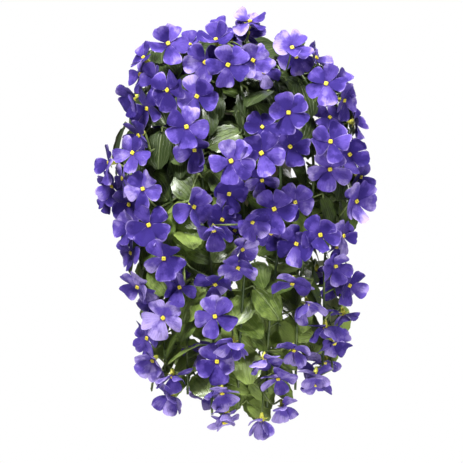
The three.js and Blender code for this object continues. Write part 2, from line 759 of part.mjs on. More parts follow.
// The way out of a stem at a foothold that points best at a target.
function sideways({ point, along }, target) {
  const way = new THREE.Vector3().subVectors(target, point);
  return way.addScaledVector(along, -way.dot(along)).normalize();
}

const HUB_SHARES = [0.35, 0.55, 0.2, 0.75, 0.05, 0.9];
const HUB_SHIFTS = [[0, 0], [8, 0], [-8, 0], [0, 8], [0, -8], [14, 0], [-14, 0], [0, 14], [0, -14]];
const HOLDS_TRIED = 160;
// A stalk that can't run straight bends once, this far to a side of its middle.
const BENDS = [
  [0, 8, 0], [7, 0, 0], [-7, 0, 0], [0, 0, 7], [0, 0, -7],
  [0, 14, 0], [12, 6, 0], [-12, 6, 0], [0, 6, 12], [0, 6, -12],
  [0, 20, 0], [18, 8, 0], [-18, 8, 0], [0, 8, 18], [0, 8, -18],
];

// A line that starts at `from`, leaves it through `neck` and ends at `to`: straight on from the neck
// if there is room, or bent once.
function freeLine(from, neck, to, kin) {
  const bent = BENDS.map((bend) => [neck, neck.clone().lerp(to, 0.5).add(new THREE.Vector3(...bend)), to]);
  return [[neck, to], ...bent].find((line) => isGentle([from, ...line]) && lineIsClear(line, kin));
}

// Joins a spray's blooms to the nearest stem by stalks that meet at a hub.
function routeSpray(blooms, owner, holds) {
  const centres = blooms.map(({ frame }) => new THREE.Vector3().setFromMatrixPosition(frame));
  const necks = blooms.map(({ normal }, i) => centres[i].clone().addScaledVector(normal, -STALK.socketLength));
  const middle = necks.reduce((sum, neck) => sum.add(neck), new THREE.Vector3()).divideScalar(necks.length);
  for (const hold of nearestFirst(holds, middle).slice(0, HOLDS_TRIED)) {
    for (const share of HUB_SHARES) {
      for (const [right, up] of HUB_SHIFTS) {
        const hub = middle.clone().lerp(hold.point, share).add(new THREE.Vector3(right, 0, up));
        const side = sideways(hold, hub);
        const knee = hold.point.clone().addScaledVector(side, hold.radius + SHOOT_END.straight);
        const foot = hold.point.clone().addScaledVector(side, hold.radius + SHOOT_END.gap);
        const shoot = [hub, knee, foot];
        const footKin = { ends: [hold.point, ...necks], owners: [hold.owner, owner] };
        if (!isGentle(shoot) || !lineIsClear(shoot, footKin)) continue;
        const neckKin = { ends: necks, owners: [owner] };
        const stalks = necks.map((neck, i) => freeLine(centres[i], neck, hub, neckKin));
        if (stalks.every(Boolean)) return { hold, shoot, stalks };
      }
    }
  }
  return null;
}

// The first bloom's stalk runs on through the hub to the stem, and the others end inside the hub.
function spraySolid(blooms, { shoot, stalks }) {
  return fuse(
    blooms.map(({ frame, rim }, i) => {
      const line = i ? stalks[i] : [...stalks[i], ...shoot.slice(1)];
      const radii = line.map(() => STALK.radius);
      if (i) radii[line.length - 1] = HUB.inside;
      else {
        radii[stalks[i].length - 1] = HUB.radius;
        radii[line.length - 1] = SHOOT_END.radius;
      }
      return toSolid(bloomOnStalk(rim, frame, line, radii));
    }),
  );
}

// Gives a standing leaf its stalk to the nearest stem that it can reach.
function routeLeaf({ frame, tipWay }, owner, holds) {
  const base = new THREE.Vector3().setFromMatrixPosition(frame);
  const normal = new THREE.Vector3().setFromMatrixColumn(frame, 2);
  for (const hold of nearestFirst(holds, base)) {
    for (const lean of LEAF_STALK.leans) {
      const back = tipWay.clone().addScaledVector(normal, lean).normalize();
      const neck = base.clone().addScaledVector(back, -LEAF_STALK.bend);
      const kin = { ends: [hold.point, base], owners: [hold.owner, owner] };
      const line = freeLine(base, neck, hold.point, kin);
      if (line) return { hold, line };
    }
  }
  return null;
}

// The frame of a leaf that stands out of a stem: its face looks up and outwards, and its tip droops.
function standingLeaf({ point, along }, turn, length) {
  const first = new THREE.Vector3().crossVectors(along, new THREE.Vector3(0.2, 1, 0.1)).normalize();
  const way = first.applyAxisAngle(along, turn);
  const up = new THREE.Vector3(0, 0, 1);
  const normal = way.clone().multiplyScalar(LEAF_RULE.outwards).add(up).normalize();
  const base = point
    .clone()
    .addScaledVector(way, LEAF_RULE.stalk)
    .addScaledVector(up, LEAF_RULE.lift);
  const frame = frameAt(base, normal, way.clone().addScaledVector(up, -LEAF_RULE.droop));
  return { ...leafShape(length), frame };
}

const isWithin = (points) =>
  points.every(({ x, z }) => Math.abs(x) < LEAF_RULE.within * halfWidthAt(z));

// Sets leaves along a stem, each in the first direction round it that has room.
function addRuleLeaves(stem, holds) {
  holds.filter((hold) => hold.stem === stem.index).forEach((hold, slot) => {
    if (slot % LEAF_RULE.every) return;
    for (const length of LEAF_RULE.lengths) {
      for (const aside of LEAF_RULE.tries) {
        const leaf = standingLeaf(hold, radians(LEAF_RULE.turn * slot + aside), length);
        const base = new THREE.Vector3().setFromMatrixPosition(leaf.frame);
        const samples = fanSamples(leaf.middle, leaf.rim).map((point) => point.applyMatrix4(leaf.frame));
        const line = [base, hold.point];
        const kin = { ends: [hold.point], owners: [hold.owner] };
        if (isWithin(samples) && isClear(samples) && lineIsClear(line, kin)) {
          occupy(samples, OWNER.firstLeaf);
          occupy(lineSamples(line), OWNER.firstLeaf);
          stem.solids.push(toSolid(leafOnStalk(leaf, [hold.point])));
          return;
        }
      }
    }
  });
}

// ---- Growing the bush ----

// Takes up the room of the pot and its raised back.
function occupyPot() {
  for (let z = POT.base; z <= BACK_PLATE.top; z += CELLS.size) {
    const [half, depth] = z < POT.top ? potSize(z) : [BACK_PLATE.halfWidth, BACK_PLATE.thickness];
    for (let proud = POT.lipProud; proud > -POT.wall; proud -= CELLS.size) {
      occupy(lineSamples(potOutline(half + proud, depth + proud, 0, z)), OWNER.pot);
    }
  }
}

// Stands the blooms in their places, the front layer first.
function placeBlooms(blooms) {
  const eye = new THREE.Vector3();
  const socket = lineSamples([eye, new THREE.Vector3(0, 0, -STALK.socketLength)]);
  for (const layer of [0, 1, 2]) {
    for (const bloom of blooms.filter((other) => other.layer === layer)) {
      const samples = [...fanSamples(eye, bloom.rim), ...socket];
      if (!settle(samples, bloom.frame, OWNER.firstSpray + bloom.owner)) {
        throw new Error(`no room for the bloom at ${bloom.x}, ${bloom.z}`);
      }
    }
  }
}

function growSprays(blooms, holds) {
  return SPRAYS.map((_, index) => {
    const own = blooms.filter((bloom) => bloom.owner === index);
    const owner = OWNER.firstSpray + index;
    const route = routeSpray(own, owner, holds.filter(isFree));
    if (!route) throw new Error(`no way to a stem for spray ${index + 1}`);
    useFoothold(holds, route.hold);
    for (const line of [...route.stalks, route.shoot]) occupy(lineSamples(line), owner);
    return spraySolid(own, route);
  });
}

// Stands the leaves that the front shows, and fuses each to the stem that its stalk reaches.
function growFrontLeaves(stems, holds) {
  makeFrontLeaves().forEach((leaf, index) => {
    const owner = OWNER.firstLeaf + index;
    const isPlaced = settle(fanSamples(leaf.middle, leaf.rim), leaf.frame, owner);
    const route = isPlaced && routeLeaf(leaf, owner, holds.filter(isFree));
    if (!route) throw new Error(`no place for front leaf ${index + 1}`);
    useFoothold(holds, route.hold);
    occupy(lineSamples(route.line), owner);
    stems[route.hold.stem].solids.push(toSolid(leafOnStalk(leaf, route.line)));
  });
}

// ---- Assembly ----

const FINISHES = {
  pot: { color: 0xe9e2cc, roughness: 0.25 },
  soil: { color: 0x2e2119, roughness: 0.95 },
  stem: { color: 0x41632b, roughness: 0.5 },
  spray: { color: 0x5b45c4, roughness: 0.7 },
};

function meshOf(name, solid, finish) {
  const material = new THREE.MeshStandardMaterial({ ...FINISHES[finish], metalness: 0 });
  const mesh = new THREE.Mesh(toGeometry(solid), material);
  mesh.name = name;
  return mesh;
}

const numbered = (name, index) => `${name}_${String(index + 1).padStart(2, "0")}`;

occupyPot();
const stems = makeStems();
const blooms = makeBlooms();
placeBlooms(blooms);
const holds = footholds(stems);
const sprays = growSprays(blooms, holds);
growFrontLeaves(stems, holds);
stems.forEach((stem) => addRuleLeaves(stem, holds.filter(isFree)));

const plant = new THREE.Group();
plant.add(meshOf("pot", potSolid(), "pot"));
plant.add(meshOf("soil", soilSolid(stems), "soil"));
stems.forEach((stem) => {
  plant.add(meshOf(numbered("leafy_stem", stem.index), fuse(stem.solids), "stem"));
});
sprays.forEach((solid, index) => {
  plant.add(meshOf(numbered("bloom_spray", index), solid, "spray"));
});

export default plant;
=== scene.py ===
"""A trailing african violet in a glazed wall pot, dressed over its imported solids.

The solids give every place: each bloom's eye, rim and stalk and each leaf's blade and stalk are read
from them, and a finer surface is worked out there. Lengths are in millimetres until a mesh is
written, and in metres in the finishes and the studio. The wall is the plane y = 0, the plant grows
towards -Y, and +Z is up.
"""

import logging
import math
from collections.abc import Callable
from dataclasses import dataclass, field
from enum import Enum
from itertools import product
from typing import Any

import bpy
import numpy as np
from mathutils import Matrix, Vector


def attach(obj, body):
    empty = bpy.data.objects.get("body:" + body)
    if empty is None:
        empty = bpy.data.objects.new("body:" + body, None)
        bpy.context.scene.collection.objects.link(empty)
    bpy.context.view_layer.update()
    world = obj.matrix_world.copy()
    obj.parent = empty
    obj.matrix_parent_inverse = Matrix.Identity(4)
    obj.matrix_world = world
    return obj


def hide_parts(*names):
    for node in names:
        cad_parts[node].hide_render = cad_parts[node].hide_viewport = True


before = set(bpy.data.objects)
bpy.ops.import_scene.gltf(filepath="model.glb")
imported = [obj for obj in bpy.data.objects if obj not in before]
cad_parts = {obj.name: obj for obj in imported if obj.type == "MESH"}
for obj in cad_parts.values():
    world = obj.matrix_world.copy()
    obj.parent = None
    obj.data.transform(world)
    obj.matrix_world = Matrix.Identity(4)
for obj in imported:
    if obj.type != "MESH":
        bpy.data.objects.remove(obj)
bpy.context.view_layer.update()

log = logging.getLogger("violet")

Array = np.ndarray
Chance = np.random.Generator
Material = bpy.types.Material
Socket = bpy.types.NodeSocket
Colour = tuple[float, float, float, float]
Floats = tuple[float, ...]

MM = 0.001
SEED = 41
SPRAY_SEED = 7 * SEED
UP = np.array([0.0, 0.0, 1.0])
PETALS = 5
SHARP_EDGE = math.radians(62)


class Slot(Enum):
    """Names of the material slots."""

    GLAZE = "pot_glaze"
    SOIL = "soil"
    LEAF = "leaf_green"
    PETAL = "petal_violet"


# ---- Arrays ----


def unit(vectors: Array) -> Array:
    """Scales vectors, along the last axis, to length 1."""
    return vectors / np.maximum(np.linalg.norm(vectors, axis=-1, keepdims=True), 1e-9)


def across(vectors: Array, normals: Array) -> Array:
    """The part of each vector that lies across its normal, at length 1."""
    return unit(vectors - normals * np.sum(vectors * normals, axis=-1, keepdims=True))


def nearest(points: Array, place: Array) -> int:
    """The index of the point that is nearest to a place."""
    return int(np.linalg.norm(points - place, axis=1).argmin())


def per_grid(values: Any) -> Array:
    """One number for each grid of a batch, to be set against the grids' points."""
    return np.asarray(values)[:, None, None]


def draws(rng: Chance, batch: int) -> Callable[[float, float], Array]:
    """A function that draws a number between two limits for each grid of a batch."""
    return lambda low, high: per_grid(rng.uniform(low, high, batch))


def smooth_path(points: Array, count: int) -> Array:
    """A curve through points, evenly spread in its parameter.

    Each stretch is the cubic whose slope at a point is half the way from the point before it to the
    point after it. Past the ends the points are mirrored: 2 p0 - p1 comes first, 2 pn - pm last.

    Args:
        points: The points to pass, shape (n, 3).
        count: How many points the curve has.

    Returns:
        The curve, shape (count, 3).
    """
    held = np.vstack([2 * points[0] - points[1], points, 2 * points[-1] - points[-2]])
    place = np.linspace(0, len(points) - 1, count)
    first = np.minimum(place.astype(int), len(points) - 2)
    t = (place - first)[:, None]
    before, start, end, after = (held[first + k] for k in range(4))
    return (
        (2 * t**3 - 3 * t**2 + 1) * start
        + (t**3 - 2 * t**2 + t) * (end - before) / 2
        + (3 * t**2 - 2 * t**3) * end
        + (t**3 - t**2) * (after - start) / 2
    )


def disc(count: int) -> tuple[Array, Array]:
    """A square grid drawn out to a disc of radius 1.

    From a and b between -1 and 1, x is a times the root of (1 - b squared / 2), and y is b times the
    root of (1 - a squared / 2), so the square's sides become the circle.

    Args:
        count: How many points each side of the grid has.

    Returns:
        x and y, each of shape (count, count), with x growing along the first axis.
    """
    side = np.linspace(-1, 1, count)
    a, b = np.meshgrid(side, side, indexing="ij")
    return a * np.sqrt(1 - b**2 / 2), b * np.sqrt(1 - a**2 / 2)


def pattern(x: Array, y: Array) -> Array:
    """A grid's places in its finish's pattern: -1 to 1 becomes 0 to 1."""
    return np.stack([(x + 1) / 2, (y + 1) / 2], axis=-1)


def rim_wave(count: int) -> Array:
    """1 and -1 by turns round the rim of a square grid, and 0 inside it, shape (count, count)."""
    i, j = np.meshgrid(np.arange(count), np.arange(count), indexing="ij")
    is_rim = (i == 0) | (j == 0) | (i == count - 1) | (j == count - 1)
    return np.where(is_rim, 1.0 - 2.0 * ((i + j) % 2), 0.0)


# ---- Meshes ----


@dataclass
class Surface:
    """Part of a mesh: points, four-sided faces, and what the finish reads at each point."""

    points: Array
    faces: Array
    uv: Array
    tone: Array
    side: Array
    finish: Material | None


def thin_bodies(
    sheets: Array, uv: Array, thickness: float, tone: Array, finish: Material | None
) -> Surface:
    """Closes a batch of open sheets into thin bodies with a fine rim.

    A point inside the rim becomes two, half the thickness out and in along the normal: the cross
    product of the grid's two slopes. Both skins share the rim's points.

    Args:
        sheets: The sheets' grids, shape (batch, n, m, 3); the first axis crossed with the second
            points out.
        uv: The pattern's place on one grid, shape (n, m, 2).
        thickness: The thickness inside the rim.
        tone: One number for each sheet, shape (batch,).
        finish: Its material.

    Returns:
        The closed bodies.
    """
    batch, n, m, _ = sheets.shape
    inside = np.zeros((n, m), bool)
    inside[1:-1, 1:-1] = True
    extra = int(inside.sum())
    lift = unit(np.cross(np.gradient(sheets, axis=1), np.gradient(sheets, axis=2)))
    lift *= (inside * thickness / 2)[None, :, :, None]
    outer, inner = (sheets + lift).reshape(batch, -1, 3), (sheets - lift)[:, inside]
    index = np.arange(n * m).reshape(n, m)
    below = index.copy()
    below[inside] = n * m + np.arange(extra)

    def quads(grid: Array) -> Array:
        """The grid's cells as faces."""
        corners = [grid[:-1, :-1], grid[1:, :-1], grid[1:, 1:], grid[:-1, 1:]]
        return np.stack(corners, -1).reshape(-1, 4)

    one = np.concatenate([quads(index), quads(below)[:, ::-1]])
    count = n * m + extra
    faces = one[None] + (count * np.arange(batch))[:, None, None]
    flat = uv.reshape(-1, 2)
    return Surface(
        np.concatenate([outer, inner], axis=1).reshape(-1, 3),
        faces.reshape(-1, 4),
        np.tile(np.concatenate([flat, flat[inside.ravel()]]), (batch, 1)),
        np.repeat(tone, count),
        np.tile(np.repeat([1.0, 0.0], [n * m, extra]), batch),
        finish,
    )


def ringed_body(rings: Array, tone: Any, finish: Material, is_loop: bool = False) -> Surface:
    """A closed body through a row of rings.

    Each ring is joined to the next by a band of faces. The first and the last are capped by rows of
    faces from side to side, or joined to each other.

    Args:
        rings: The rings, shape (n, sides, 3), with an even number of sides, counterclockwise about
            the way they follow one another.
        tone: One number for the whole body, or one for each ring.
        finish: Its material.
        is_loop: Whether the last ring is joined to the first.

    Returns:
        The closed body.
    """
    n, sides, _ = rings.shape
    index = np.arange(n * sides).reshape(n, sides)
    here = index if is_loop else index[:-1]
    above = np.roll(index, -1, axis=0) if is_loop else index[1:]
    faces = np.stack([here, np.roll(here, -1, axis=1), np.roll(above, -1, axis=1), above], -1)
    faces = faces.reshape(-1, 4)
    if not is_loop:
        half = np.arange(1, sides // 2)
        cap = np.stack([half - 1, (sides - half) % sides, sides - 1 - half, half], -1)
        faces = np.concatenate([faces, cap, cap[:, ::-1] + (n - 1) * sides])
    v, u = np.meshgrid(np.linspace(0, 1, n), np.linspace(0, 1, sides), indexing="ij")
    uv = np.stack([u, v], -1).reshape(-1, 2)
    tones = np.repeat(np.broadcast_to(tone, n), sides)
    return Surface(rings.reshape(-1, 3), faces, uv, tones, np.ones(n * sides), finish)


def round_tube(path: Array, radii: Array, sides: int, tone: float, finish: Material) -> Surface:
    """A round stalk: a circle carried along a path, drawn in to a point at both ends.

    The circle lies across the path. It starts from the part, across the path, of the fixed direction
    that the path follows least.

    Args:
        path: The middle line, shape (n, 3).
        radii: The radius at each point, shape (n,).
        sides: How many points the circle has.
        tone: One number for the whole stalk.
        finish: Its material.

    Returns:
        The closed stalk.
    """
    along = unit(np.gradient(path, axis=0))
    ways = unit(np.array([[0.31, 0.83, 0.46], [0.9, -0.1, 0.42], [-0.3, 0.2, 0.93], [-0.6, -0.75, 0.2]]))
    least = np.abs(along @ ways.T).max(axis=0).argmin()
    first = across(np.broadcast_to(ways[least], along.shape), along)
    turn = np.linspace(0, 2 * math.pi, sides, endpoint=False)[None, :, None]
    circle = first[:, None] * np.cos(turn) + np.cross(along, first)[:, None] * np.sin(turn)
    ends = [0, *range(len(path)), len(path) - 1]
    size = np.concatenate([[radii[0] * 0.05], radii, [radii[-1] * 0.05]])
    return ringed_body(path[ends][:, None] + size[:, None, None] * circle[ends], tone, finish)


def add_object(name: str, data: Any) -> bpy.types.Object:
    """Links a new object that holds a mesh, a lamp or a camera to the scene."""
    thing = bpy.data.objects.new(name, data)
    bpy.context.scene.collection.objects.link(thing)
    return thing


def add_piece(name: str, surfaces: list[Surface], node: str) -> None:
    """Writes surfaces as one mesh, in metres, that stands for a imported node, and reports it.

    Args:
        name: The piece's name.
        surfaces: What its mesh is made of.
        node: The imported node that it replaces.
    """
    def joined(key: str) -> Array:
        """The surfaces' arrays of one kind, end to end."""
        return np.concatenate([getattr(surface, key) for surface in surfaces])

    starts = np.cumsum([0] + [len(surface.points) for surface in surfaces])
    faces = np.concatenate([surface.faces + start for surface, start in zip(surfaces, starts)])
    finishes = list(dict.fromkeys(surface.finish for surface in surfaces))
    numbers = [np.full(len(surface.faces), finishes.index(surface.finish)) for surface in surfaces]
    mesh = bpy.data.meshes.new(name)
    mesh.vertices.add(int(starts[-1]))
    mesh.vertices.foreach_set("co", (joined("points") * MM).ravel())
    mesh.loops.add(faces.size)
    mesh.loops.foreach_set("vertex_index", faces.ravel())
    mesh.polygons.add(len(faces))
    mesh.polygons.foreach_set("loop_start", np.arange(0, faces.size, 4))
    mesh.polygons.foreach_set("material_index", np.concatenate(numbers))
    mesh.uv_layers.new(name="UVMap").data.foreach_set("uv", joined("uv")[faces.ravel()].ravel())
    for key in ("tone", "side"):
        mesh.attributes.new(key, "FLOAT", "POINT").data.foreach_set("value", joined(key))
    for material in finishes:
        mesh.materials.append(material)
    mesh.update(calc_edges=True)
    mesh.validate()
    mesh.shade_smooth()
    mesh.set_sharp_from_angle(angle=SHARP_EDGE)
    piece = add_object(name, mesh)
    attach(piece, "root")
    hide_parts(node)
    log.info("%s: %d faces, for %s", name, len(mesh.polygons), node)


# ---- Finishes ----


def colour(red: float, green: float, blue: float) -> Colour:
    """An opaque colour from linear parts."""
    return (red, green, blue, 1.0)


class Nodes:
    """The nodes of one material, made and wired as they are named."""

    def __init__(self, name: str, **shader: Any) -> None:
        """Starts a material.

        Args:
            name: The material's name.
            shader: Values for the shader's own sockets, with _ for a space in their names.
        """
        self.material = bpy.data.materials.new(name)
        self.material.use_nodes = True
        self.tree = self.material.node_tree
        self.shader = self.tree.nodes["Principled BSDF"]
        for key, value in shader.items():
            self.feed(self.shader, key.replace("_", " "), value)

    def feed(self, node: bpy.types.Node, key: str | int, value: Any) -> None:
        """Wires a socket to an input, or sets its value."""
        if isinstance(value, Socket):
            self.tree.links.new(value, node.inputs[key])
        else:
            node.inputs[key].default_value = value

    def add(self, kind: str, inputs: dict[str | int, Any], **settings: Any) -> bpy.types.Node:
        """Adds a node of a kind, with its settings and its inputs."""
        node = self.tree.nodes.new(f"ShaderNode{kind}")
        for key, value in settings.items():
            setattr(node, key, value)
        for key, value in inputs.items():
            self.feed(node, key, value)
        return node

    def place(self, name: str) -> Socket:
        """The point's place: Object or UV."""
        return self.add("TexCoord", {}).outputs[name]

    def read(self, attribute: str) -> Socket:
        """A number that the mesh holds at each point."""
        return self.add("Attribute", {}, attribute_name=attribute).outputs["Fac"]

    def stretch(self, place: Socket, scale: Floats) -> Socket:
        """A place scaled along each axis."""
        return self.add("Mapping", {"Vector": place, "Scale": scale}).outputs[0]

    def split(self, place: Socket) -> list[Socket]:
        """A place's three numbers."""
        return list(self.add("SeparateXYZ", {0: place}).outputs)

    def off_middle(self, uv: Socket) -> Socket:
        """How far a place in the pattern is from its middle."""
        return self.add("VectorMath", {0: uv, 1: (0.5, 0.5, 0.0)}, operation="DISTANCE").outputs["Value"]

    def noise(self, place: Socket, scale: float, detail: float = 3.0) -> Socket:
        """Soft random values from 0 to 1, in patches of 1 / scale."""
        return self.add("TexNoise", {"Vector": place, "Scale": scale, "Detail": detail}).outputs["Fac"]

    def grains(self, place: Socket, scale: float, low: float, high: float, most: float) -> Socket:
        """Round grains, 1 / scale apart, that fade from the most to 0 between two distances."""
        cells = self.add("TexVoronoi", {"Vector": place, "Scale": scale})
        return self.ease(cells.outputs["Distance"], low, high, most, 0.0)

    def maths(self, operation: str, *values: Any) -> Socket:
        """One step of arithmetic."""
        return self.add("Math", dict(enumerate(values)), operation=operation).outputs[0]

    def ease(self, value: Any, low: float, high: float, start: float = 0.0, end: float = 1.0) -> Socket:
        """Goes smoothly from start to end while the value goes from low to high."""
        inputs = {"Value": value, 1: low, 2: high, 3: start, 4: end}
        return self.add("MapRange", inputs, interpolation_type="SMOOTHSTEP").outputs[0]

    def mix(self, factor: Any, first: Any, second: Any) -> Socket:
        """The first colour where the factor is 0, and the second where it is 1."""
        return self.add("Mix", {0: factor, 6: first, 7: second}, data_type="RGBA").outputs[2]

    def blend(self, first: Any, second: Any, value: Any, *limits: float) -> Socket:
        """Mixes two colours by a value that is eased between limits."""
        return self.mix(self.ease(value, *limits), first, second)

    def paint(self, ground: Socket) -> None:
        """Gives the surface its colour."""
        self.feed(self.shader, "Base Color", ground)

    def raise_by(self, height: Socket, distance: float, strength: float = 1.0) -> None:
        """Lifts the surface by a height between 0 and 1 times a distance in metres."""
        inputs = {"Height": height, "Distance": distance, "Strength": strength}
        self.feed(self.shader, "Normal", self.add("Bump", inputs).outputs[0])


@dataclass(frozen=True)
class PetalCloth:
    """Woven violet-blue cloth: mottled, streaked outwards, dark round the eye, with painted shade towards
    each petal's base and a painted highlight at the rim.
    """

    deep: Colour = colour(0.032, 0.015, 0.190)
    mid: Colour = colour(0.122, 0.074, 0.425)
    # pale is the light end of the tone range, and also the painted highlight at each petal's rim.
    pale: Colour = colour(0.500, 0.395, 0.850)
    halo: Colour = colour(0.045, 0.008, 0.040)
    back: Colour = colour(0.150, 0.105, 0.420)
    threads: float = 120.0

    def material(self) -> Material:
        """Builds the material.

        The weave is the sine of the threads times u, times the same of v.
        """
        nodes = Nodes(
            "petal cloth", Roughness=0.65, Sheen_Weight=0.1, Sheen_Roughness=0.4,
            Sheen_Tint=colour(0.75, 0.68, 1.0), Specular_IOR_Level=0.22,
        )
        uv = nodes.place("UV")
        u, v, _ = nodes.split(uv)
        patches = nodes.noise(nodes.place("Object"), 85.0)
        streaks = nodes.noise(nodes.stretch(uv, (26.0, 2.2, 1.0)), 1.0, 4.0)
        # The tone attribute holds each petal's random tone plus painted light and shade for its bloom's
        # height. The ease along v adds painted shade: darker at the petal's base round the eye, lighter
        # towards its tip.
        tone = nodes.maths("MULTIPLY_ADD", nodes.read("tone"), 0.5, nodes.ease(v, 0.1, 1.0, 0.25, 0.7))
        shade = nodes.maths("ADD", tone, nodes.ease(patches, 0.3, 0.7, -0.35, 0.35))
        cloth = nodes.blend(self.deep, self.mid, shade, 0.0, 0.62)
        cloth = nodes.blend(cloth, self.pale, shade, 0.6, 1.25)
        cloth = nodes.blend(cloth, self.deep, streaks, 0.48, 0.7, 0.0, 0.45)
        # Pale rim: a painted highlight along each petal's edge, in patches, where the edge would catch the
        # light.
        rim = nodes.ease(nodes.off_middle(uv), 0.44, 0.5, 0.0, 0.7)
        rim = nodes.maths("MULTIPLY", rim, nodes.ease(patches, 0.45, 0.65))
        cloth = nodes.mix(rim, cloth, self.pale)
        cloth = nodes.blend(cloth, self.halo, v, 0.04, 0.16, 0.85, 0.0)
        cloth = nodes.blend(cloth, self.back, nodes.read("side"), 0.3, 0.7, 0.5, 0.0)
        warp, weft = (nodes.maths("SINE", nodes.maths("MULTIPLY", way, self.threads)) for way in (u, v))
        weave = nodes.maths("MULTIPLY", warp, weft)
        nodes.paint(nodes.blend(cloth, self.deep, weave, 0.1, 1.0, 0.0, 0.3))
        nodes.raise_by(nodes.maths("MULTIPLY_ADD", weave, -0.25, streaks), 0.0005, 0.8)
        return nodes.material


@dataclass(frozen=True)
class LeafCloth:
    """A glossy leaf: dark green with pale veins that fan out of the stalk and meet at the tip."""

    dark: Colour = colour(0.030, 0.050, 0.011)
    mid: Colour = colour(0.095, 0.150, 0.024)
    lit: Colour = colour(0.270, 0.370, 0.080)
    vein: Colour = colour(0.430, 0.520, 0.190)
    back: Colour = colour(0.240, 0.260, 0.090)
    veins: float = 3.6

    def material(self) -> Material:
        """Builds the material.

        A side vein runs where the distance from the midrib, as a share of the blade's half width there
        (the root of 1 - (2 v - 1) squared), times the count of veins is a whole number.
        """
        nodes = Nodes("leaf cloth", Specular_IOR_Level=0.55, Coat_Weight=0.25, Coat_Roughness=0.18)
        place = nodes.place("Object")
        u, v, _ = nodes.split(nodes.place("UV"))
        aside = nodes.maths("ABSOLUTE", nodes.maths("SUBTRACT", u, 0.5))
        half = nodes.maths("SQRT", nodes.maths("MULTIPLY", v, nodes.maths("SUBTRACT", 1.0, v)))
        share = nodes.maths("DIVIDE", aside, nodes.maths("MAXIMUM", half, 0.05))
        share = nodes.maths("ADD", share, nodes.ease(nodes.noise(place, 60.0), 0.3, 0.7, -0.12, 0.12))
        wave = nodes.maths("FRACT", nodes.maths("MULTIPLY", share, self.veins))
        off = nodes.maths("ABSOLUTE", nodes.maths("SUBTRACT", wave, 0.5))
        side_vein = nodes.ease(off, 0.36, 0.49, 0.0, 0.75)
        vein = nodes.maths("MAXIMUM", side_vein, nodes.ease(aside, 0.008, 0.035, 1.0, 0.0))
        patches = nodes.noise(place, 120.0, 4.0)
        # The tone attribute holds each blade's random tone plus painted light and shade: darker on the crown
        # and behind the blooms, paler at the trailing ends.
        tone = nodes.maths("MULTIPLY_ADD", nodes.read("tone"), 0.5, 0.5)
        shade = nodes.maths("ADD", tone, nodes.ease(patches, 0.3, 0.7, -0.2, 0.3))
        blade = nodes.blend(self.dark, self.mid, shade, 0.0, 0.5)
        blade = nodes.blend(blade, self.lit, shade, 0.5, 1.1)
        blade = nodes.mix(nodes.maths("MULTIPLY", vein, 0.16), blade, self.vein)
        nodes.paint(nodes.blend(blade, self.back, nodes.read("side"), 0.3, 0.7, 0.6, 0.0))
        nodes.feed(nodes.shader, "Roughness", nodes.ease(patches, 0.2, 0.8, 0.3, 0.5))
        crinkle = nodes.maths("MULTIPLY", nodes.noise(place, 420.0), 0.5)
        nodes.raise_by(nodes.maths("SUBTRACT", crinkle, vein), 0.0006, 0.8)
        return nodes.material


@dataclass(frozen=True)
class StalkCoat:
    """A smooth coat on stems and stalks, pale where they are young, with lengthwise streaks."""

    name: str = "stalk coat"
    dark: Colour = colour(0.040, 0.070, 0.016)
    light: Colour = colour(0.340, 0.420, 0.130)

    def material(self) -> Material:
        """Builds the material."""
        nodes = Nodes(self.name, Roughness=0.45, Specular_IOR_Level=0.5)
        streaks = nodes.noise(nodes.stretch(nodes.place("UV"), (9.0, 2.0, 1.0)), 1.0)
        patches = nodes.noise(nodes.place("Object"), 70.0)
        shade = nodes.maths("ADD", nodes.ease(patches, 0.3, 0.7, -0.3, 0.3), nodes.read("tone"))
        shade = nodes.maths("ADD", shade, nodes.ease(streaks, 0.3, 0.7, -0.15, 0.15))
        nodes.paint(nodes.blend(self.dark, self.light, shade, 0.0, 1.0))
        nodes.raise_by(streaks, 0.0003, 0.6)
        return nodes.material


@dataclass(frozen=True)
class EyeDab:
    """The eye: yellow anthers with an olive dot between them."""

    yellow: Colour = colour(0.900, 0.760, 0.050)
    shadow: Colour = colour(0.420, 0.300, 0.020)
    dot: Colour = colour(0.200, 0.190, 0.010)

    def material(self) -> Material:
        """Builds the material."""
        nodes = Nodes("eye dab", Roughness=0.5)
        grain = nodes.noise(nodes.place("Object"), 1500.0, 2.0)
        ground = nodes.blend(self.yellow, self.shadow, grain, 0.35, 0.65, 0.0, 0.25)
        nodes.paint(nodes.blend(ground, self.dot, nodes.off_middle(nodes.place("UV")), 0.10, 0.18, 1.0, 0.0))
        nodes.raise_by(grain, 0.0003, 0.7)
        return nodes.material


@dataclass(frozen=True)
class PotGlaze:
    """Cream glaze over clay: runny and glossy, thin and warm where it is worn, lightly speckled."""

    cream: Colour = colour(0.760, 0.690, 0.530)
    thin: Colour = colour(0.560, 0.400, 0.240)
    speck: Colour = colour(0.250, 0.150, 0.080)

    def material(self) -> Material:
        """Builds the material."""
        nodes = Nodes("pot glaze", Coat_Weight=0.5, Coat_Roughness=0.08)
        place = nodes.place("Object")
        runs = nodes.noise(nodes.stretch(place, (1.0, 1.0, 0.25)), 60.0, 4.0)
        ground = nodes.blend(self.cream, self.thin, runs, 0.4, 0.75, 0.0, 0.35)
        ground = nodes.blend(ground, self.thin, nodes.read("tone"), 0.4, 1.0, 0.0, 0.8)
        specks = nodes.grains(place, 420.0, 0.08, 0.2, 1.0)
        specks = nodes.maths("MULTIPLY", specks, nodes.ease(runs, 0.5, 0.6, 0.0, 0.8))
        nodes.paint(nodes.mix(specks, ground, self.speck))
        nodes.feed(nodes.shader, "Roughness", nodes.ease(runs, 0.3, 0.7, 0.18, 0.34))
        nodes.raise_by(runs, 0.0008, 0.5)
        return nodes.material


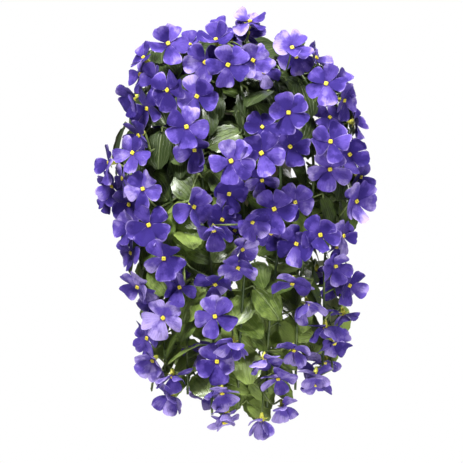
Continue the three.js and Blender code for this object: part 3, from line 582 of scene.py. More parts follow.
@dataclass(frozen=True)
class Compost:
    """Dark crumbly soil with paler grains."""

    dark: Colour = colour(0.018, 0.011, 0.007)
    brown: Colour = colour(0.085, 0.052, 0.030)
    grain: Colour = colour(0.400, 0.360, 0.300)

    def material(self) -> Material:
        """Builds the material."""
        nodes = Nodes("compost", Roughness=0.95, Specular_IOR_Level=0.2)
        place = nodes.place("Object")
        crumbs = nodes.noise(place, 260.0, 6.0)
        ground = nodes.blend(self.dark, self.brown, crumbs, 0.35, 0.65)
        nodes.paint(nodes.mix(nodes.grains(place, 330.0, 0.1, 0.2, 0.75), ground, self.grain))
        nodes.raise_by(crumbs, 0.002)
        return nodes.material


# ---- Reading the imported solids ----


@dataclass
class Solid:
    """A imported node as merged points, its triangles, and which points share an edge."""

    points: Array
    triangles: Array
    linked: Array

    @classmethod
    def of(cls, node: str) -> "Solid":
        """Reads a node, with points merged to a hundredth of a millimetre."""
        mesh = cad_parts[node].data
        places = np.empty(3 * len(mesh.vertices))
        mesh.vertices.foreach_get("co", places)
        corners = np.empty(len(mesh.loops), dtype=int)
        mesh.loops.foreach_get("vertex_index", corners)
        places = np.round(places.reshape(-1, 3) / MM, 2)
        points, index = np.unique(places, axis=0, return_inverse=True)
        triangles = index.reshape(-1)[corners].reshape(-1, 3)
        linked = np.zeros((len(points), len(points)), bool)
        for start, end in ((0, 1), (1, 2), (2, 0)):
            linked[triangles[:, start], triangles[:, end]] = True
        return cls(points, triangles, linked | linked.T)

    def fans(self, count: int, closest: float) -> list[tuple[int, Array, Array]]:
        """Finds the points that stand alone in the middle of a ring.

        Args:
            count: How many points the ring has.
            closest: How far the ring's points are from the middle, at least.

        Returns:
            For each, the middle's index, the ring's indices counterclockwise round the outward
            normal, and that normal.
        """
        found = []
        for middle in np.flatnonzero(self.linked.sum(axis=1) == count):
            ring = np.flatnonzero(self.linked[middle])
            spokes = self.points[ring] - self.points[middle]
            if np.linalg.norm(spokes, axis=1).min() < closest:
                continue
            own = self.points[self.triangles[(self.triangles == middle).any(axis=1)]]
            normal = unit(np.cross(own[:, 1] - own[:, 0], own[:, 2] - own[:, 0]).sum(axis=0))
            right = across(spokes[0], normal)
            turn = np.arctan2(spokes @ np.cross(normal, right), spokes @ right)
            found.append((int(middle), ring[np.argsort(turn)], normal))
        return found

    def beyond(self, front: Array, seen: Array) -> Array:
        """The points one edge on from those in front that haven't been seen, which they now are."""
        ahead = self.linked[front].any(axis=0) & ~seen
        seen |= ahead
        return np.flatnonzero(ahead)

    def far_from(self, places: Array, reach: float) -> Array:
        """Whether each point is further than a reach from all of some places."""
        return np.linalg.norm(self.points[:, None] - places[None], axis=2).min(axis=1) > reach

    def joints(self, own: Array, reach: float) -> list[Array]:
        """Sorts points into joints: those that lie within a reach of each other, by steps."""
        near = np.linalg.norm(self.points[own][:, None] - self.points[own][None], axis=2) < reach
        label, lowest = None, np.arange(len(own))
        while not np.array_equal(lowest, label):
            label = lowest
            lowest = np.where(near, label[None, :], len(own)).min(axis=1)
        return [own[label == value] for value in np.unique(label)]


@dataclass
class Stand:
    """Where a bloom or a leaf stands: a frame with its size, and the way of its stalk."""

    origin: Array
    right: Array
    up: Array
    normal: Array
    size: float
    cup: float = 0.0
    stalk: list[Array] = field(default_factory=list)


def squared(right: Array, up: Array) -> tuple[Array, Array, Array]:
    """Makes a fitted pair of axes square: the normal is their cross product, and up is kept."""
    up, normal = unit(up), unit(np.cross(right, up))
    return np.cross(up, normal), up, normal


@dataclass(frozen=True)
class BloomPlan:
    """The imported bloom's plan: its petals' reach from the lowest one on, and a petal's three corners."""

    reach: Floats = (1.05, 1.0, 0.94, 0.94, 1.0)
    turns: Floats = (-36.0, -20.0, 20.0)
    shares: Floats = (0.58, 0.99, 0.99)
    waves: Floats = (0.0, 0.03, -0.03)
    closest: float = 5.0
    misfit: float = 0.5
    neck: float = 8.0
    eye_reach: float = 4.0
    ring_reach: float = 3.0

    def read(self, node: str) -> list[Stand]:
        """Reads a spray's blooms from its node.

        The 15 rim points, counted from each of them in turn, are fitted by least squares to x times
        right + y times up + share squared times a lift + wave times a tilt, and the turn that leaves
        the least is the bloom's.

        Args:
            node: The spray's node.

        Returns:
            The blooms, each with its stalk's points from the neck to the foot.
        """
        corners = len(self.turns)
        reach = np.repeat(self.reach, corners) * np.tile(self.shares, PETALS)
        turn = -90 + np.repeat(np.arange(PETALS) * 72.0, corners) + np.tile(self.turns, PETALS)
        x, y = reach * np.cos(np.radians(turn)), reach * np.sin(np.radians(turn))
        plan = np.stack([x, y, reach**2, np.tile(self.waves, PETALS)], axis=1)
        solid = Solid.of(node)
        stands, rims = [], []
        for middle, ring, _ in solid.fans(len(plan), self.closest):
            fits = []
            for start in range(len(plan)):
                rim = solid.points[np.roll(ring, -start)] - solid.points[middle]
                fit = np.linalg.lstsq(plan, rim, rcond=None)[0]
                fits.append((float(np.abs(plan @ fit - rim).max()), fit))
            left, fit = min(fits, key=lambda pair: pair[0])
            if left > self.misfit:
                continue
            size = float(np.linalg.norm(fit[0]))
            axes = squared(fit[0], fit[1])
            cup = float(fit[2] @ axes[2]) / size
            stands.append(Stand(solid.points[middle], *axes, size=size, cup=cup))
            rims.append(ring)
        self.follow_stalks(solid, stands, np.concatenate(rims))
        return stands

    def follow_stalks(self, solid: Solid, stands: list[Stand], rims: Array) -> None:
        """Gives each bloom the middle line of its stalk.

        The stalks' points that lie close together form joints, and the shortest way along the
        solid's edges, from joint to joint, leads from each neck to the foot.

        Args:
            solid: The spray's solid.
            stands: Its blooms, which are given their stalks.
            rims: The indices of all the blooms' rim points.
        """
        centres = np.array([stand.origin for stand in stands])
        is_stalk = solid.far_from(solid.points[rims], 1.0) & solid.far_from(centres, self.eye_reach)
        joints = solid.joints(np.flatnonzero(is_stalk), self.ring_reach)
        middles = np.array([solid.points[joint].mean(axis=0) for joint in joints])
        linked = np.array([[solid.linked[np.ix_(a, b)].any() for b in joints] for a in joints])
        np.fill_diagonal(linked, False)
        necks = [nearest(middles, stand.origin - self.neck * stand.normal) for stand in stands]
        ends = [k for k in range(len(joints)) if linked[k].sum() == 1 and k not in necks]
        if len(ends) != 1:
            log.warning("a spray has %d feet", len(ends))
        foot = ends[0] if ends else necks[0]
        onward = {foot: foot}
        row = [foot]
        for here in row:
            ahead = [int(there) for there in np.flatnonzero(linked[here]) if int(there) not in onward]
            onward.update(dict.fromkeys(ahead, here))
            row.extend(ahead)
        for stand, here in zip(stands, necks):
            stand.stalk = [middles[here]]
            while onward.get(here, here) != here:
                here = onward[here]
                stand.stalk.append(middles[here])


@dataclass(frozen=True)
class LeafPlan:
    """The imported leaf's plan, as shares of its length, and its thickness."""

    steps: int = 12
    half_width: float = 0.42
    scallop: float = 0.045
    arch: float = 0.16
    arch_start: float = 0.35
    fold: float = 0.1
    thickness: float = 0.8
    closest: float = 8.0
    stem_reach: float = 4.5
    stalk_steps: int = 4

    def rim(self) -> Array:
        """The rim's points, counted from the stalk: across, along from the middle, and up."""
        k = np.arange(self.steps)
        turn = 2 * math.pi * (k + 0.5) / self.steps
        scallop = 1 + self.scallop * np.where(k % 2, 1.0, -1.0)
        x = self.half_width * scallop * np.sin(turn)
        y = 0.5 - 0.5 * scallop * np.cos(turn)
        z = -self.arch * (y - self.arch_start) ** 2 + self.fold * np.abs(x)
        return np.stack([x, y - 0.5, z], axis=1)

    def read(self, node: str, stem: Array, drawn: Array) -> list[Stand]:
        """Reads a stem's leaves from its node.

        A leaf is two fans back to back. Its upper one is the one that its sides rise from. The rim's
        points are fitted by least squares to x times right + (y - half) times up + z times a lift.

        Args:
            node: The stem's node.
            stem: The solid stem's middle line, shape (n, 3).
            drawn: The same points where the stem is drawn.

        Returns:
            The leaves, each with its stalk's points from the blade to the drawn stem.
        """
        plan = self.rim()
        sides = np.argsort(np.abs(plan[:, 1]))[:4]
        solid = Solid.of(node)
        fans = solid.fans(self.steps, self.closest)
        leaves = []
        for middle, ring, normal in fans:
            origin = solid.points[middle]
            gaps = [np.linalg.norm(solid.points[other[0]] - origin) for other in fans]
            twins = [other for other, gap in zip(fans, gaps) if other[0] != middle and gap < 1.0]
            if not twins:
                continue
            known = np.zeros(len(solid.points), bool)
            known[[middle, twins[0][0], *ring, *twins[0][1]]] = True
            joined = (solid.linked[ring] & ~known).any(axis=1)
            starts = np.flatnonzero(joined & np.roll(joined, 1))
            if len(starts) != 1:
                continue
            ring = np.roll(ring, -int(starts[0]))
            rim = solid.points[ring] - origin
            if (rim[sides] @ normal).mean() < 0:
                continue
            fit = np.linalg.lstsq(plan, rim, rcond=None)[0]
            size = float(np.linalg.norm(fit[1]))
            right, up, normal = squared(fit[0], fit[1])
            base = origin - 0.5 * size * up - 0.5 * self.thickness * normal
            low = twins[0][1][(solid.linked[twins[0][1]] & ~known).any(axis=1)]
            front = np.concatenate([ring[[0, -1]], low])
            way = self.stalk_way(solid, front, known, stem)
            stalk = [*way[:-1], drawn[nearest(stem, way[-1])]]
            leaves.append(Stand(base, right, up, normal, size, stalk=stalk))
        return leaves

    def stalk_way(self, solid: Solid, front: Array, known: Array, stem: Array) -> list[Array]:
        """Follows a leaf's stalk along the solid's edges until it comes to the stem.

        Args:
            solid: The stem's solid.
            front: The blade's points that its stalk is joined to.
            known: Whether each point has been passed.
            stem: The solid stem's middle line.

        Returns:
            The middles on the way, then the place that the stem's nearest point is looked for from.
        """
        place = solid.points[front].mean(axis=0)
        way = [place]
        for _ in range(self.stalk_steps):
            front = solid.beyond(front, known)
            if not len(front):
                break
            place = solid.points[front].mean(axis=0)
            if np.linalg.norm(stem - place, axis=1).min() < self.stem_reach:
                break
            way.append(place)
        return [*way, place]


# ---- Shapes ----


def stand_up(local: Array, stands: list[Stand]) -> Array:
    """Puts local grids in their frames: origin + x right + y up + z normal.

    Args:
        local: The grids, shape (batch, n, m, 3), as many in a row for each frame.
        stands: The frames.

    Returns:
        The grids in the object's frame.
    """
    times = len(local) // len(stands)
    axes = np.repeat([[stand.right, stand.up, stand.normal] for stand in stands], times, axis=0)
    origins = np.repeat([stand.origin for stand in stands], times, axis=0)
    return np.einsum("bnmk,bkc->bnmc", local, axes) + origins[:, None, None]


def in_fives(plan: tuple[Array, Array, Array], first: float, slack: float, rng: Chance) -> Array:
    """Turns grids about the middles of their blooms, five to a bloom.

    Args:
        plan: How far each point is forwards, to the side and up, shape (batch, n, m) at most.
        first: The turn of each bloom's first one, in degrees.
        slack: How far each may be off its turn, in degrees.
        rng: Where their differences come from.

    Returns:
        The local grids, shape (batch, n, m, 3).
    """
    forward, side, height = np.broadcast_arrays(*plan)
    batch = len(forward)
    fifths = np.tile(np.arange(PETALS) * 72.0, batch // PETALS)
    turn = per_grid(np.radians(first + fifths + rng.uniform(-slack, slack, batch)))
    cos, sin = np.cos(turn), np.sin(turn)
    return np.stack([forward * cos + side * sin, forward * sin - side * cos, height], axis=-1)


def bent(angles: Array, t: Array) -> tuple[Array, Array, Array]:
    """Follows bent lines of length 1.

    A line's way forwards and up is the running sum, by trapezes, of the cosine and the sine of its
    angle, and is read in between.

    Args:
        angles: Each line's angle above level at even steps along it, shape (batch, steps).
        t: How far along each point is, from 0 to 1, shape (batch, n, m).

    Returns:
        How far forwards and how high each point is, and the angle there, each of t's shape.
    """
    batch, steps = angles.shape
    ways = np.stack([np.cos(angles), np.sin(angles)])
    sums = np.cumsum((ways[..., 1:] + ways[..., :-1]) / 2, axis=-1) / (steps - 1)
    sums = np.concatenate([np.zeros((2, batch, 1)), sums], axis=-1)
    place = np.clip(t, 0, 1) * (steps - 1)
    low = np.minimum(place.astype(int), steps - 2)
    share = place - low
    row = per_grid(np.arange(batch))
    forward, rise, angle = (
        table[row, low] * (1 - share) + table[row, low + 1] * share for table in (*sums, angles)
    )
    return forward, rise, angle


@dataclass
class Petals:
    """Five petals, the lowest the longest, each bent, rolled and twisted a little its own way."""

    reach: Floats = (1.08, 1.04, 0.97, 0.97, 1.04)
    half_width: float = 0.42
    start: float = 0.03
    count: int = 7
    thickness: float = 0.4
    layers: Floats = (0.5, 0.0, 0.9, 0.35, -0.3)
    droop: float = 0.1
    # Painted light and shade by height: the tone added to a bloom's petals at each height, palest at the
    # trailing ends, deepest at the pot's upper half.
    shading_heights: Floats = (-240.0, -190.0, -140.0, 0.0, 30.0, 58.0, 90.0)
    tones: Floats = (1.2, 0.35, -0.05, -0.15, -0.8, -0.65, -0.05)

    def surface(self, stands: list[Stand], rng: Chance, finish: Material | None = None) -> Surface:
        """Works out all the petals of some blooms.

        A disc is drawn out a little at its two far corners. Its point (x, y) goes to t = (y + 1) / 2
        along the petal and, across it, to x times the half width times (0.32 + 0.78 t) / 0.766, so
        that it is broadest past its middle. The petal follows a bent line. Its angle is a lift of its
        own, which differs more where the bloom looks up or down, + t times the sum of 0.12, the angle
        whose tangent is twice the cup, the droop times how steeply the bloom looks, cubed, and a bend
        of its own, - a curl past t = 0.6. Off that line it stands out by a roll times across squared
        times t + a twist times across times t + a fold times the distance from the middle times t +
        a ripple times t squared + its layer, all times the reach. Its tone is its bloom's + its own +
        painted light and shade for the bloom's height: palest at the trailing ends, deepest at the
        pot's upper half.

        Args:
            stands: The blooms.
            rng: Where their differences come from.
            finish: Their material.

        Returns:
            The petals as closed bodies.
        """
        blooms = len(stands)
        own = draws(rng, PETALS * blooms)
        x, y = disc(self.count)
        corner = 1 + np.where(y > 0, 0.06 * np.sin(2 * np.arctan2(y, x)) ** 2, 0)
        x, y = x * corner, y * corner
        t = (y + 1) / 2
        wide = x * (0.32 + 0.78 * t) / 0.766
        size = per_grid(np.repeat([stand.size for stand in stands], PETALS))
        cup = np.repeat([stand.cup for stand in stands], PETALS)[:, None]
        steep = [max(-stand.normal[2], 0.7 * stand.normal[2]) for stand in stands]
        steep = np.repeat(steep, PETALS)[:, None]
        share = np.clip((steep - 0.3) / 0.5, 0, 1)
        closed = share**2 * (3 - 2 * share)
        reach = per_grid(np.tile(self.reach, blooms)) * own(0.93, 1.06)
        edge = rim_wave(self.count) * own(0.0, 0.009)
        notch = own(-0.01, 0.06) * np.exp(-((wide / 0.28) ** 2)) * t**6
        steps = np.linspace(0, 1, 25)
        lift, bend, curl = rng.uniform(-1, 1, (3, PETALS * blooms, 1))
        angles = (
            (0.12 + 0.4 * closed) * lift + 0.22 * lift**3
            + (np.arctan(2 * cup) + 0.12 + self.droop * steep**3) * steps
            + (0.35 * bend + 0.35 * bend**3) * steps
            - (0.35 + 0.9 * curl) * np.maximum(steps - 0.6, 0)
        )
        forward, rise, angle = bent(angles, t - notch + edge * t)
        off = (
            own(-0.20, 0.26) * wide**2 * t
            + own(-0.14, 0.22) * wide * t
            + own(-0.05, 0.12) * np.abs(wide) * t
            + own(0.01, 0.045) * np.sin(own(3.0, 6.0) * wide + own(0, 6.3)) * t**2
            + per_grid(np.tile(self.layers, blooms)) * (0.3 + 0.7 * t) / size
        )
        scale = size * reach
        plan = (
            size * self.start + scale * (forward - off * np.sin(angle)),
            size * self.half_width * own(0.84, 1.12) * wide,
            scale * (rise + off * np.cos(angle)),
        )
        local = in_fives(plan, -90.0, 10.0, rng)
        tone = np.repeat(rng.uniform(-0.5, 0.5, blooms), PETALS) + rng.uniform(-0.75, 0.75, PETALS * blooms)
        height = np.repeat([stand.origin[2] for stand in stands], PETALS)
        # The bloom's height adds painted light and shade: palest at the trailing ends, deepest at the pot's
        # upper half.
        tone = np.clip(tone + np.interp(height, self.shading_heights, self.tones), -1, 1)
        return thin_bodies(stand_up(local, stands), pattern(x, y), self.thickness, tone, finish)


@dataclass
class Eyes:
    """The eye in a bloom's middle: four low anthers round a dip."""

    half_width: float = 2.5
    height: float = 1.5
    usual_size: float = 21.0
    count: int = 7
    thickness: float = 0.6

    def surface(self, stands: list[Stand], rng: Chance, finish: Material) -> Surface:
        """Works out the eyes.

        Over a disc of radius r, the height is 0.25 + 0.6 times (1 - r to the 4th) + 1.1 times the
        product of x and y, taken positive, times (1 - r to the 6th), - 0.55 times a bell of r, all
        times the eye's height. The rim is drawn in between the anthers: its radius is 0.82 + 0.18
        times the sine squared of twice the turn.

        Args:
            stands: The blooms.
            rng: Where their differences come from.
            finish: Their material.

        Returns:
            The eyes as closed bodies.
        """
        x, y = disc(self.count)
        r = np.hypot(x, y)
        lobed = 0.82 + 0.18 * np.sin(2 * np.arctan2(y, x)) ** 2
        rise = 0.25 + 0.6 * (1 - r**4) + 1.1 * np.abs(x * y) * (1 - r**6) - 0.55 * np.exp(-((r / 0.28) ** 2))
        spin = draws(rng, len(stands))(0, math.pi / 2)
        half = per_grid([self.half_width * (0.6 + 0.4 * stand.size / self.usual_size) for stand in stands])
        local = np.stack(np.broadcast_arrays(
            half * lobed * (x * np.cos(spin) - y * np.sin(spin)),
            half * lobed * (x * np.sin(spin) + y * np.cos(spin)),
            self.height * rise,
        ), axis=-1)
        tone = np.zeros(len(stands))
        return thin_bodies(stand_up(local, stands), pattern(x, y), self.thickness, tone, finish)


@dataclass
class Calyxes:
    """Behind each bloom, a narrow cup and five pointed sepals that lie against the petals."""

    length: float = 5.2
    half_width: float = 1.5
    thickness: float = 0.6
    count: int = 5
    start: float = 1.2
    cup_sides: int = 8
    cup_tone: float = 0.6
    radii: Floats = (2.0, 2.6, 2.4, 2.0, 1.3)
    depths: Floats = (0.3, 1.8, 4.0, 6.4, 8.4)

    def surfaces(self, stands: list[Stand], rng: Chance, finish: Material) -> list[Surface]:
        """Works out the cups and the sepals.

        A sepal is a disc narrowed to its tip: across it, x times the half width times (1 - 0.6 t)
        times 1.15, and its depth behind the bloom is 2.2 - 1.1 t + its flare times t squared, less a
        quarter of x, taken positive.

        Args:
            stands: The blooms.
            rng: Where their differences come from.
            finish: Their material.

        Returns:
            The cups and the sepals as closed bodies.
        """
        own = draws(rng, PETALS * len(stands))
        x, y = disc(self.count)
        t = (y + 1) / 2
        long = self.length * own(0.8, 1.15)
        depth = -(2.2 - 1.1 * t + own(0.0, 2.6) * t**2) + np.abs(x) * 0.25
        plan = (self.start + long * t, self.half_width * x * (1 - 0.6 * t) * 1.15, depth)
        sheets = stand_up(in_fives(plan, -54.0, 9.0, rng), stands)
        tone = rng.uniform(0.3, 0.9, PETALS * len(stands))
        made = [thin_bodies(sheets, pattern(x, y), self.thickness, tone, finish)]
        for stand in stands:
            path = stand.origin - np.array(self.depths)[:, None] * stand.normal
            made.append(round_tube(path, np.array(self.radii), self.cup_sides, self.cup_tone, finish))
        return made


@dataclass
class Blades:
    """Egg-shaped leaf blades with a scalloped rim, folded along the midrib and arched to the tip."""

    count: int = 9
    half_width: float = 0.42
    arch: float = 0.16
    arch_start: float = 0.35
    fold: float = 0.1
    scallop: float = 0.03
    thickness: float = 0.6
    spread: float = 1.2
    # Painted light and shade by height: the tone added to a blade at each height, darker on the crown, paler
    # at the trailing ends.
    shading_heights: Floats = (-250.0, -200.0, -120.0, -20.0, 20.0, 60.0, 100.0)
    tones: Floats = (1.5, 1.1, 0.6, 0.15, -0.75, -1.15, -1.33)

    def grid(self, stands: list[Stand], rng: Chance) -> Array:
        """Works out the blades' sheets.

        A disc's point (x, y) goes to t = (y + 1) / 2 along the blade, drawn out a little at the tip,
        and, across it, to x times the half width times (1.1 - 0.2 t). The rim's points go out and in
        by turns. The height is - arch times t past the arch's start, squared, + fold times the
        distance from the midrib + a tilt times across + a ripple that grows with the radius cubed.

        Args:
            stands: The leaves.
            rng: Where their differences come from.

        Returns:
            The sheets, shape (batch, count, count, 3).
        """
        own = draws(rng, len(stands))
        x, y = disc(self.count)
        teeth = 1 + self.scallop * rim_wave(self.count)
        t = (y * teeth + 1) / 2
        tip = own(0.02, 0.06) * np.exp(-((x / 0.22) ** 2)) * np.clip(t, 0, 1) ** 8
        wide = self.half_width * own(0.94, 1.03) * x * teeth * (1.1 - 0.2 * t)
        r, turn = np.hypot(x, y), np.arctan2(y, x)
        ripple = own(0.006, 0.02) * np.sin(own(3, 5) * turn + own(0, 6.3)) * r**3
        height = (
            -self.arch * own(0.8, 1.3) * (t - self.arch_start) ** 2
            + self.fold * own(0.7, 1.6) * np.abs(wide)
            + own(-0.06, 0.06) * wide
            + ripple
        )
        size = per_grid([stand.size for stand in stands])
        return stand_up(np.stack([size * wide, size * (t + tip), size * height], axis=-1), stands)

    def surface(self, stands: list[Stand], rng: Chance, finish: Material, darkest: float) -> Surface:
        """Closes the blades' sheets.

        Args:
            stands: The leaves.
            rng: Where their differences come from.
            finish: Their material.
            darkest: The lowest tone that a blade may have, before painted light and shade for its height
            is added: darker on the crown and paler at the trailing ends.

        Returns:
            The blades as closed bodies.
        """
        height = np.array([stand.origin[2] for stand in stands])
        tone = rng.uniform(darkest, darkest + self.spread, len(stands))
        # Painted light and shade by height: darker on the crown, paler at the trailing ends.
        tone = tone + np.interp(height, self.shading_heights, self.tones)
        return thin_bodies(self.grid(stands, rng), pattern(*disc(self.count)), self.thickness, tone, finish)


# ---- The pot and its soil ----


@dataclass
class WallPot:
    """The half-round wall pot with its raised back."""

    half_width: float = 65.0
    depth: float = 92.0
    base_half_width: float = 47.0
    base_depth: float = 68.0
    top: float = 72.0
    base: float = -75.0
    wall: float = 5.0
    lip_proud: float = 4.0
    lip_height: float = 13.0
    back_half_width: float = 30.0
    back_top: float = 108.0
    back_foot: float = 56.0
    hole_height: float = 92.0
    hole_radius: float = 7.5
    back_power: float = 3.2
    arc_steps: int = 60
    back_steps: int = 24
    hole_steps: int = 64

    def plan(self, z: float, inset: float, back: float) -> Array:
        """The pot's D in plan at a height: half a circle in front, with straight sides and back.

        Args:
            z: The height.
            inset: How far the front and the sides are drawn in.
            back: How far the back is off the wall.

        Returns:
            The ring, counterclockwise seen from above, shape (arc_steps + back_steps, 3).
        """
        share = (z - self.base) / (self.top - self.base)
        half = self.base_half_width + share * (self.half_width - self.base_half_width) - inset
        depth = self.base_depth + share * (self.depth - self.base_depth) - inset
        turn = math.pi * (1 + np.linspace(0, 1, self.arc_steps - 1))
        arc = np.stack([half * np.cos(turn), half - depth + half * np.sin(turn)], axis=1)
        corners = np.array([[half, -back], [-half, -back]])
        line = corners[0] + (corners[1] - corners[0]) * np.linspace(0, 1, self.back_steps + 1)[:, None]
        ring = np.vstack([arc, line])
        return np.column_stack([ring, np.full(len(ring), z)])

    def body(self, glaze: Material) -> Surface:
        """The pot's wall: the plan carried up the outside, over the rounded lip and down the inside.

        A step holds the plan's height, inset and back, and how worn the glaze is there.
        """
        base, top, wall, proud = self.base, self.top, self.wall, -self.lip_proud
        foot = top - self.lip_height
        underside = [(base, 60.0, 14.0, 0.0), (base, 30.0, 8.0, 0.0), (base, 4.0, 1.5, 0.0)]
        outside = [
            (base + 0.8, 1.2, 0.3, 0.7), (base + 2.6, 0.0, 0.0, 0.4), (base + 40, 0.0, 0.0, 0.0),
            (foot - 30, 0.0, 0.0, 0.0), (foot - 5.4, 0.0, 0.0, 0.0), (foot - 3.4, -0.8, 0.0, 0.0),
        ]
        lip = [
            (foot - 1.4, proud + 1.0, 0.0, 0.5), (foot + 0.8, proud, 0.0, 0.35), (top - 3.0, proud, 0.0, 0.0),
            (top - 1.0, proud + 0.8, 0.3, 0.6), (top, proud + 3.0, 1.2, 1.0),
            (top, wall - 2.4, wall - 1.6, 1.0), (top - 1.2, wall - 0.5, wall - 0.3, 0.0),
        ]
        inside = [(z, wall, wall, 0.0) for z in (top - 3.4, foot, 0.0, base + wall)]
        steps = np.array([*underside, *outside, *lip, *inside, (base + wall, 50.0, 16.0, 0.0)])
        return ringed_body(np.array([self.plan(*step[:3]) for step in steps]), steps[:, 3], glaze)

    def raised_back(self, glaze: Material) -> Surface:
        """The raised back: rings round its hole, out over the front, round the edge and in behind.

        A step holds the ring's share of the way from the hole's circle to the edge, how far it is
        spread, how far it is off the wall, and how worn the glaze is there. At a turn, the edge's
        distances to each side are a power curve's: half width times the cosine to 2 / power, and, up
        and down, the height to that edge times the sine to 2 / power.
        """
        steps = [
            (0.0, 1.2, 0.4, 0.6), (0.0, 0.0, 1.8, 0.3), (0.0, 0.0, 4.0, 0.3), (0.0, 1.0, 5.0, 0.7),
            (0.25, 0.0, 5.2, 0.0), (0.7, 0.0, 5.2, 0.0), (1.0, -1.6, 5.2, 0.8), (1.0, -0.4, 4.6, 1.0),
            (1.0, 0.0, 3.4, 0.6), (1.0, 0.0, 1.2, 0.0), (1.0, -0.6, 0.2, 0.0), (0.5, 0.0, 0.2, 0.0),
        ]
        turn = np.linspace(0, 2 * math.pi, self.hole_steps, endpoint=False)
        circle = np.stack([np.cos(turn), np.sin(turn)], axis=1)
        up, down = self.back_top - self.hole_height, self.hole_height - self.back_foot
        high = np.where(circle[:, 1] > 0, up, down)
        reach = np.stack([np.full(len(turn), self.back_half_width), high], axis=1)
        edge = reach * np.sign(circle) * np.abs(circle) ** (2 / self.back_power)
        hole = self.hole_radius * circle
        rings = []
        for share, spread, front, _ in steps:
            flat = hole + (edge - hole) * share
            flat = flat * (1 + spread / np.linalg.norm(flat, axis=1, keepdims=True))
            depth = np.full(len(turn), -front)
            rings.append(np.column_stack([flat[:, 0], depth, self.hole_height + flat[:, 1]]))
        worn = [step[3] for step in steps]
        return ringed_body(np.array(rings)[:, ::-1], worn, glaze, is_loop=True)

    def dress(self) -> None:
        """Builds the pot."""
        glaze = PotGlaze().material()
        add_piece("glazed_wall_pot", [self.body(glaze), self.raised_back(glaze)], "pot")


@dataclass
class PottingSoil:
    """The soil that fills the pot, crumbly on top."""

    pot: WallPot
    top: float = 57.0
    crown: float = 60.0
    gap: float = 0.4
    rings: int = 22
    middle: Floats = (0.0, -48.0)
    underside: Floats = (50.0, 17.0)
    bump: float = 0.28
    waves: Floats = (0.12, 0.2, 0.3, 0.35, 0.45, 0.55, 0.6, 0.7, 0.8)

    def surface(self) -> Surface:
        """The soil: the pot's plan up the inside, then drawn in over a low crown with bumps.

        The top's height is the crown's rise times (1 - share to the 4th) + bumps, the sum of nine
        sines that run in seeded directions, times (1 - share to the 8th).
        """
        rng = np.random.default_rng(SEED)
        inset = self.pot.wall + self.gap
        low = self.pot.base + inset
        lower = [self.pot.plan(low, *self.underside)]
        lower += [self.pot.plan(z, inset, inset) for z in (low, 0.0, 40.0)]
        edge = self.pot.plan(self.top, inset, inset)
        share = np.linspace(1, 0.02, self.rings)[:, None]
        flat = self.middle + (edge[None, :, :2] - self.middle) * share[:, :, None]
        ways = rng.normal(0, 1, (len(self.waves), 2)) * np.array(self.waves)[:, None]
        bumps = np.sin(flat @ ways.T + rng.uniform(0, 6.3, len(self.waves))).sum(axis=2) * self.bump
        z = self.top + (self.crown - self.top) * (1 - share**4) + bumps * (1 - share**8)
        upper = np.concatenate([flat, z[:, :, None]], axis=2)
        return ringed_body(np.concatenate([np.array(lower), upper]), 0.0, Compost().material())

    def dress(self) -> None:
        """Builds the soil."""
        add_piece("crumbly_soil", [self.surface()], "soil")


# ---- Stems, leaves and blooms ----


class Ring(Enum):
    """How a stem leaves the pot: its rings stand out sideways and forwards of the pot's middle."""

    OUTER = ((30, 24), ((44, 34, 98), (74, 62, 117), (104, 88, 84), (110, 96, 5)))
    INNER = ((16, 14), ((26, 22, 91), (52, 44, 103), (80, 64, 68), (86, 70, -5)))
    UPRIGHT = ((8, 8), ((20, 18, 96), (42, 30, 120)))


@dataclass(frozen=True)
class Trail:
    """One leafy stem: its way out of the pot in degrees from straight ahead, and its tip."""

    lean: float
    tip: float
    tip_side: float
    ring: Ring = Ring.OUTER
    middle_y: float = -50.0
    collar: float = 65.0
    root: float = 42.0
    tip_front: float = 0.7

    def out(self, side: float, front: float, z: float) -> Array:
        """The point that stands out by side and front, along the trail's lean, at a height."""
        turn = math.radians(self.lean)
        return np.array([side * math.sin(turn), self.middle_y - front * math.cos(turn), z])

    def line(self, count: int) -> Array:
        """The middle line: straight up out of the soil, then a smooth curve through the rings.

        Args:
            count: How many points the curve has after the root.

        Returns:
            The points, shape (count + 1, 3).
        """
        foot, rings = self.ring.value
        through = [self.out(*foot, self.collar), *(self.out(*ring) for ring in rings)]
        through.append(self.out(self.tip_side, rings[-1][1] * self.tip_front, self.tip))
        curve = smooth_path(np.array(through), count)
        return np.vstack([[curve[0][0], curve[0][1], self.root], curve])


TRAILS = (
    Trail(-100, -70, 108), Trail(-78, -150, 94), Trail(-57, -205, 88), Trail(-37, -226, 80),
    Trail(-17, -246, 76), Trail(3, -240, 76), Trail(23, -240, 78), Trail(43, -222, 84),
    Trail(62, -205, 96), Trail(82, -150, 104), Trail(102, -70, 110),
    Trail(-67, -110, 82, Ring.INNER), Trail(-27, -135, 84, Ring.INNER), Trail(33, -135, 84, Ring.INNER),
    Trail(-50, 136, 60, Ring.UPRIGHT), Trail(10, 142, 60, Ring.UPRIGHT), Trail(75, 130, 60, Ring.UPRIGHT),
)


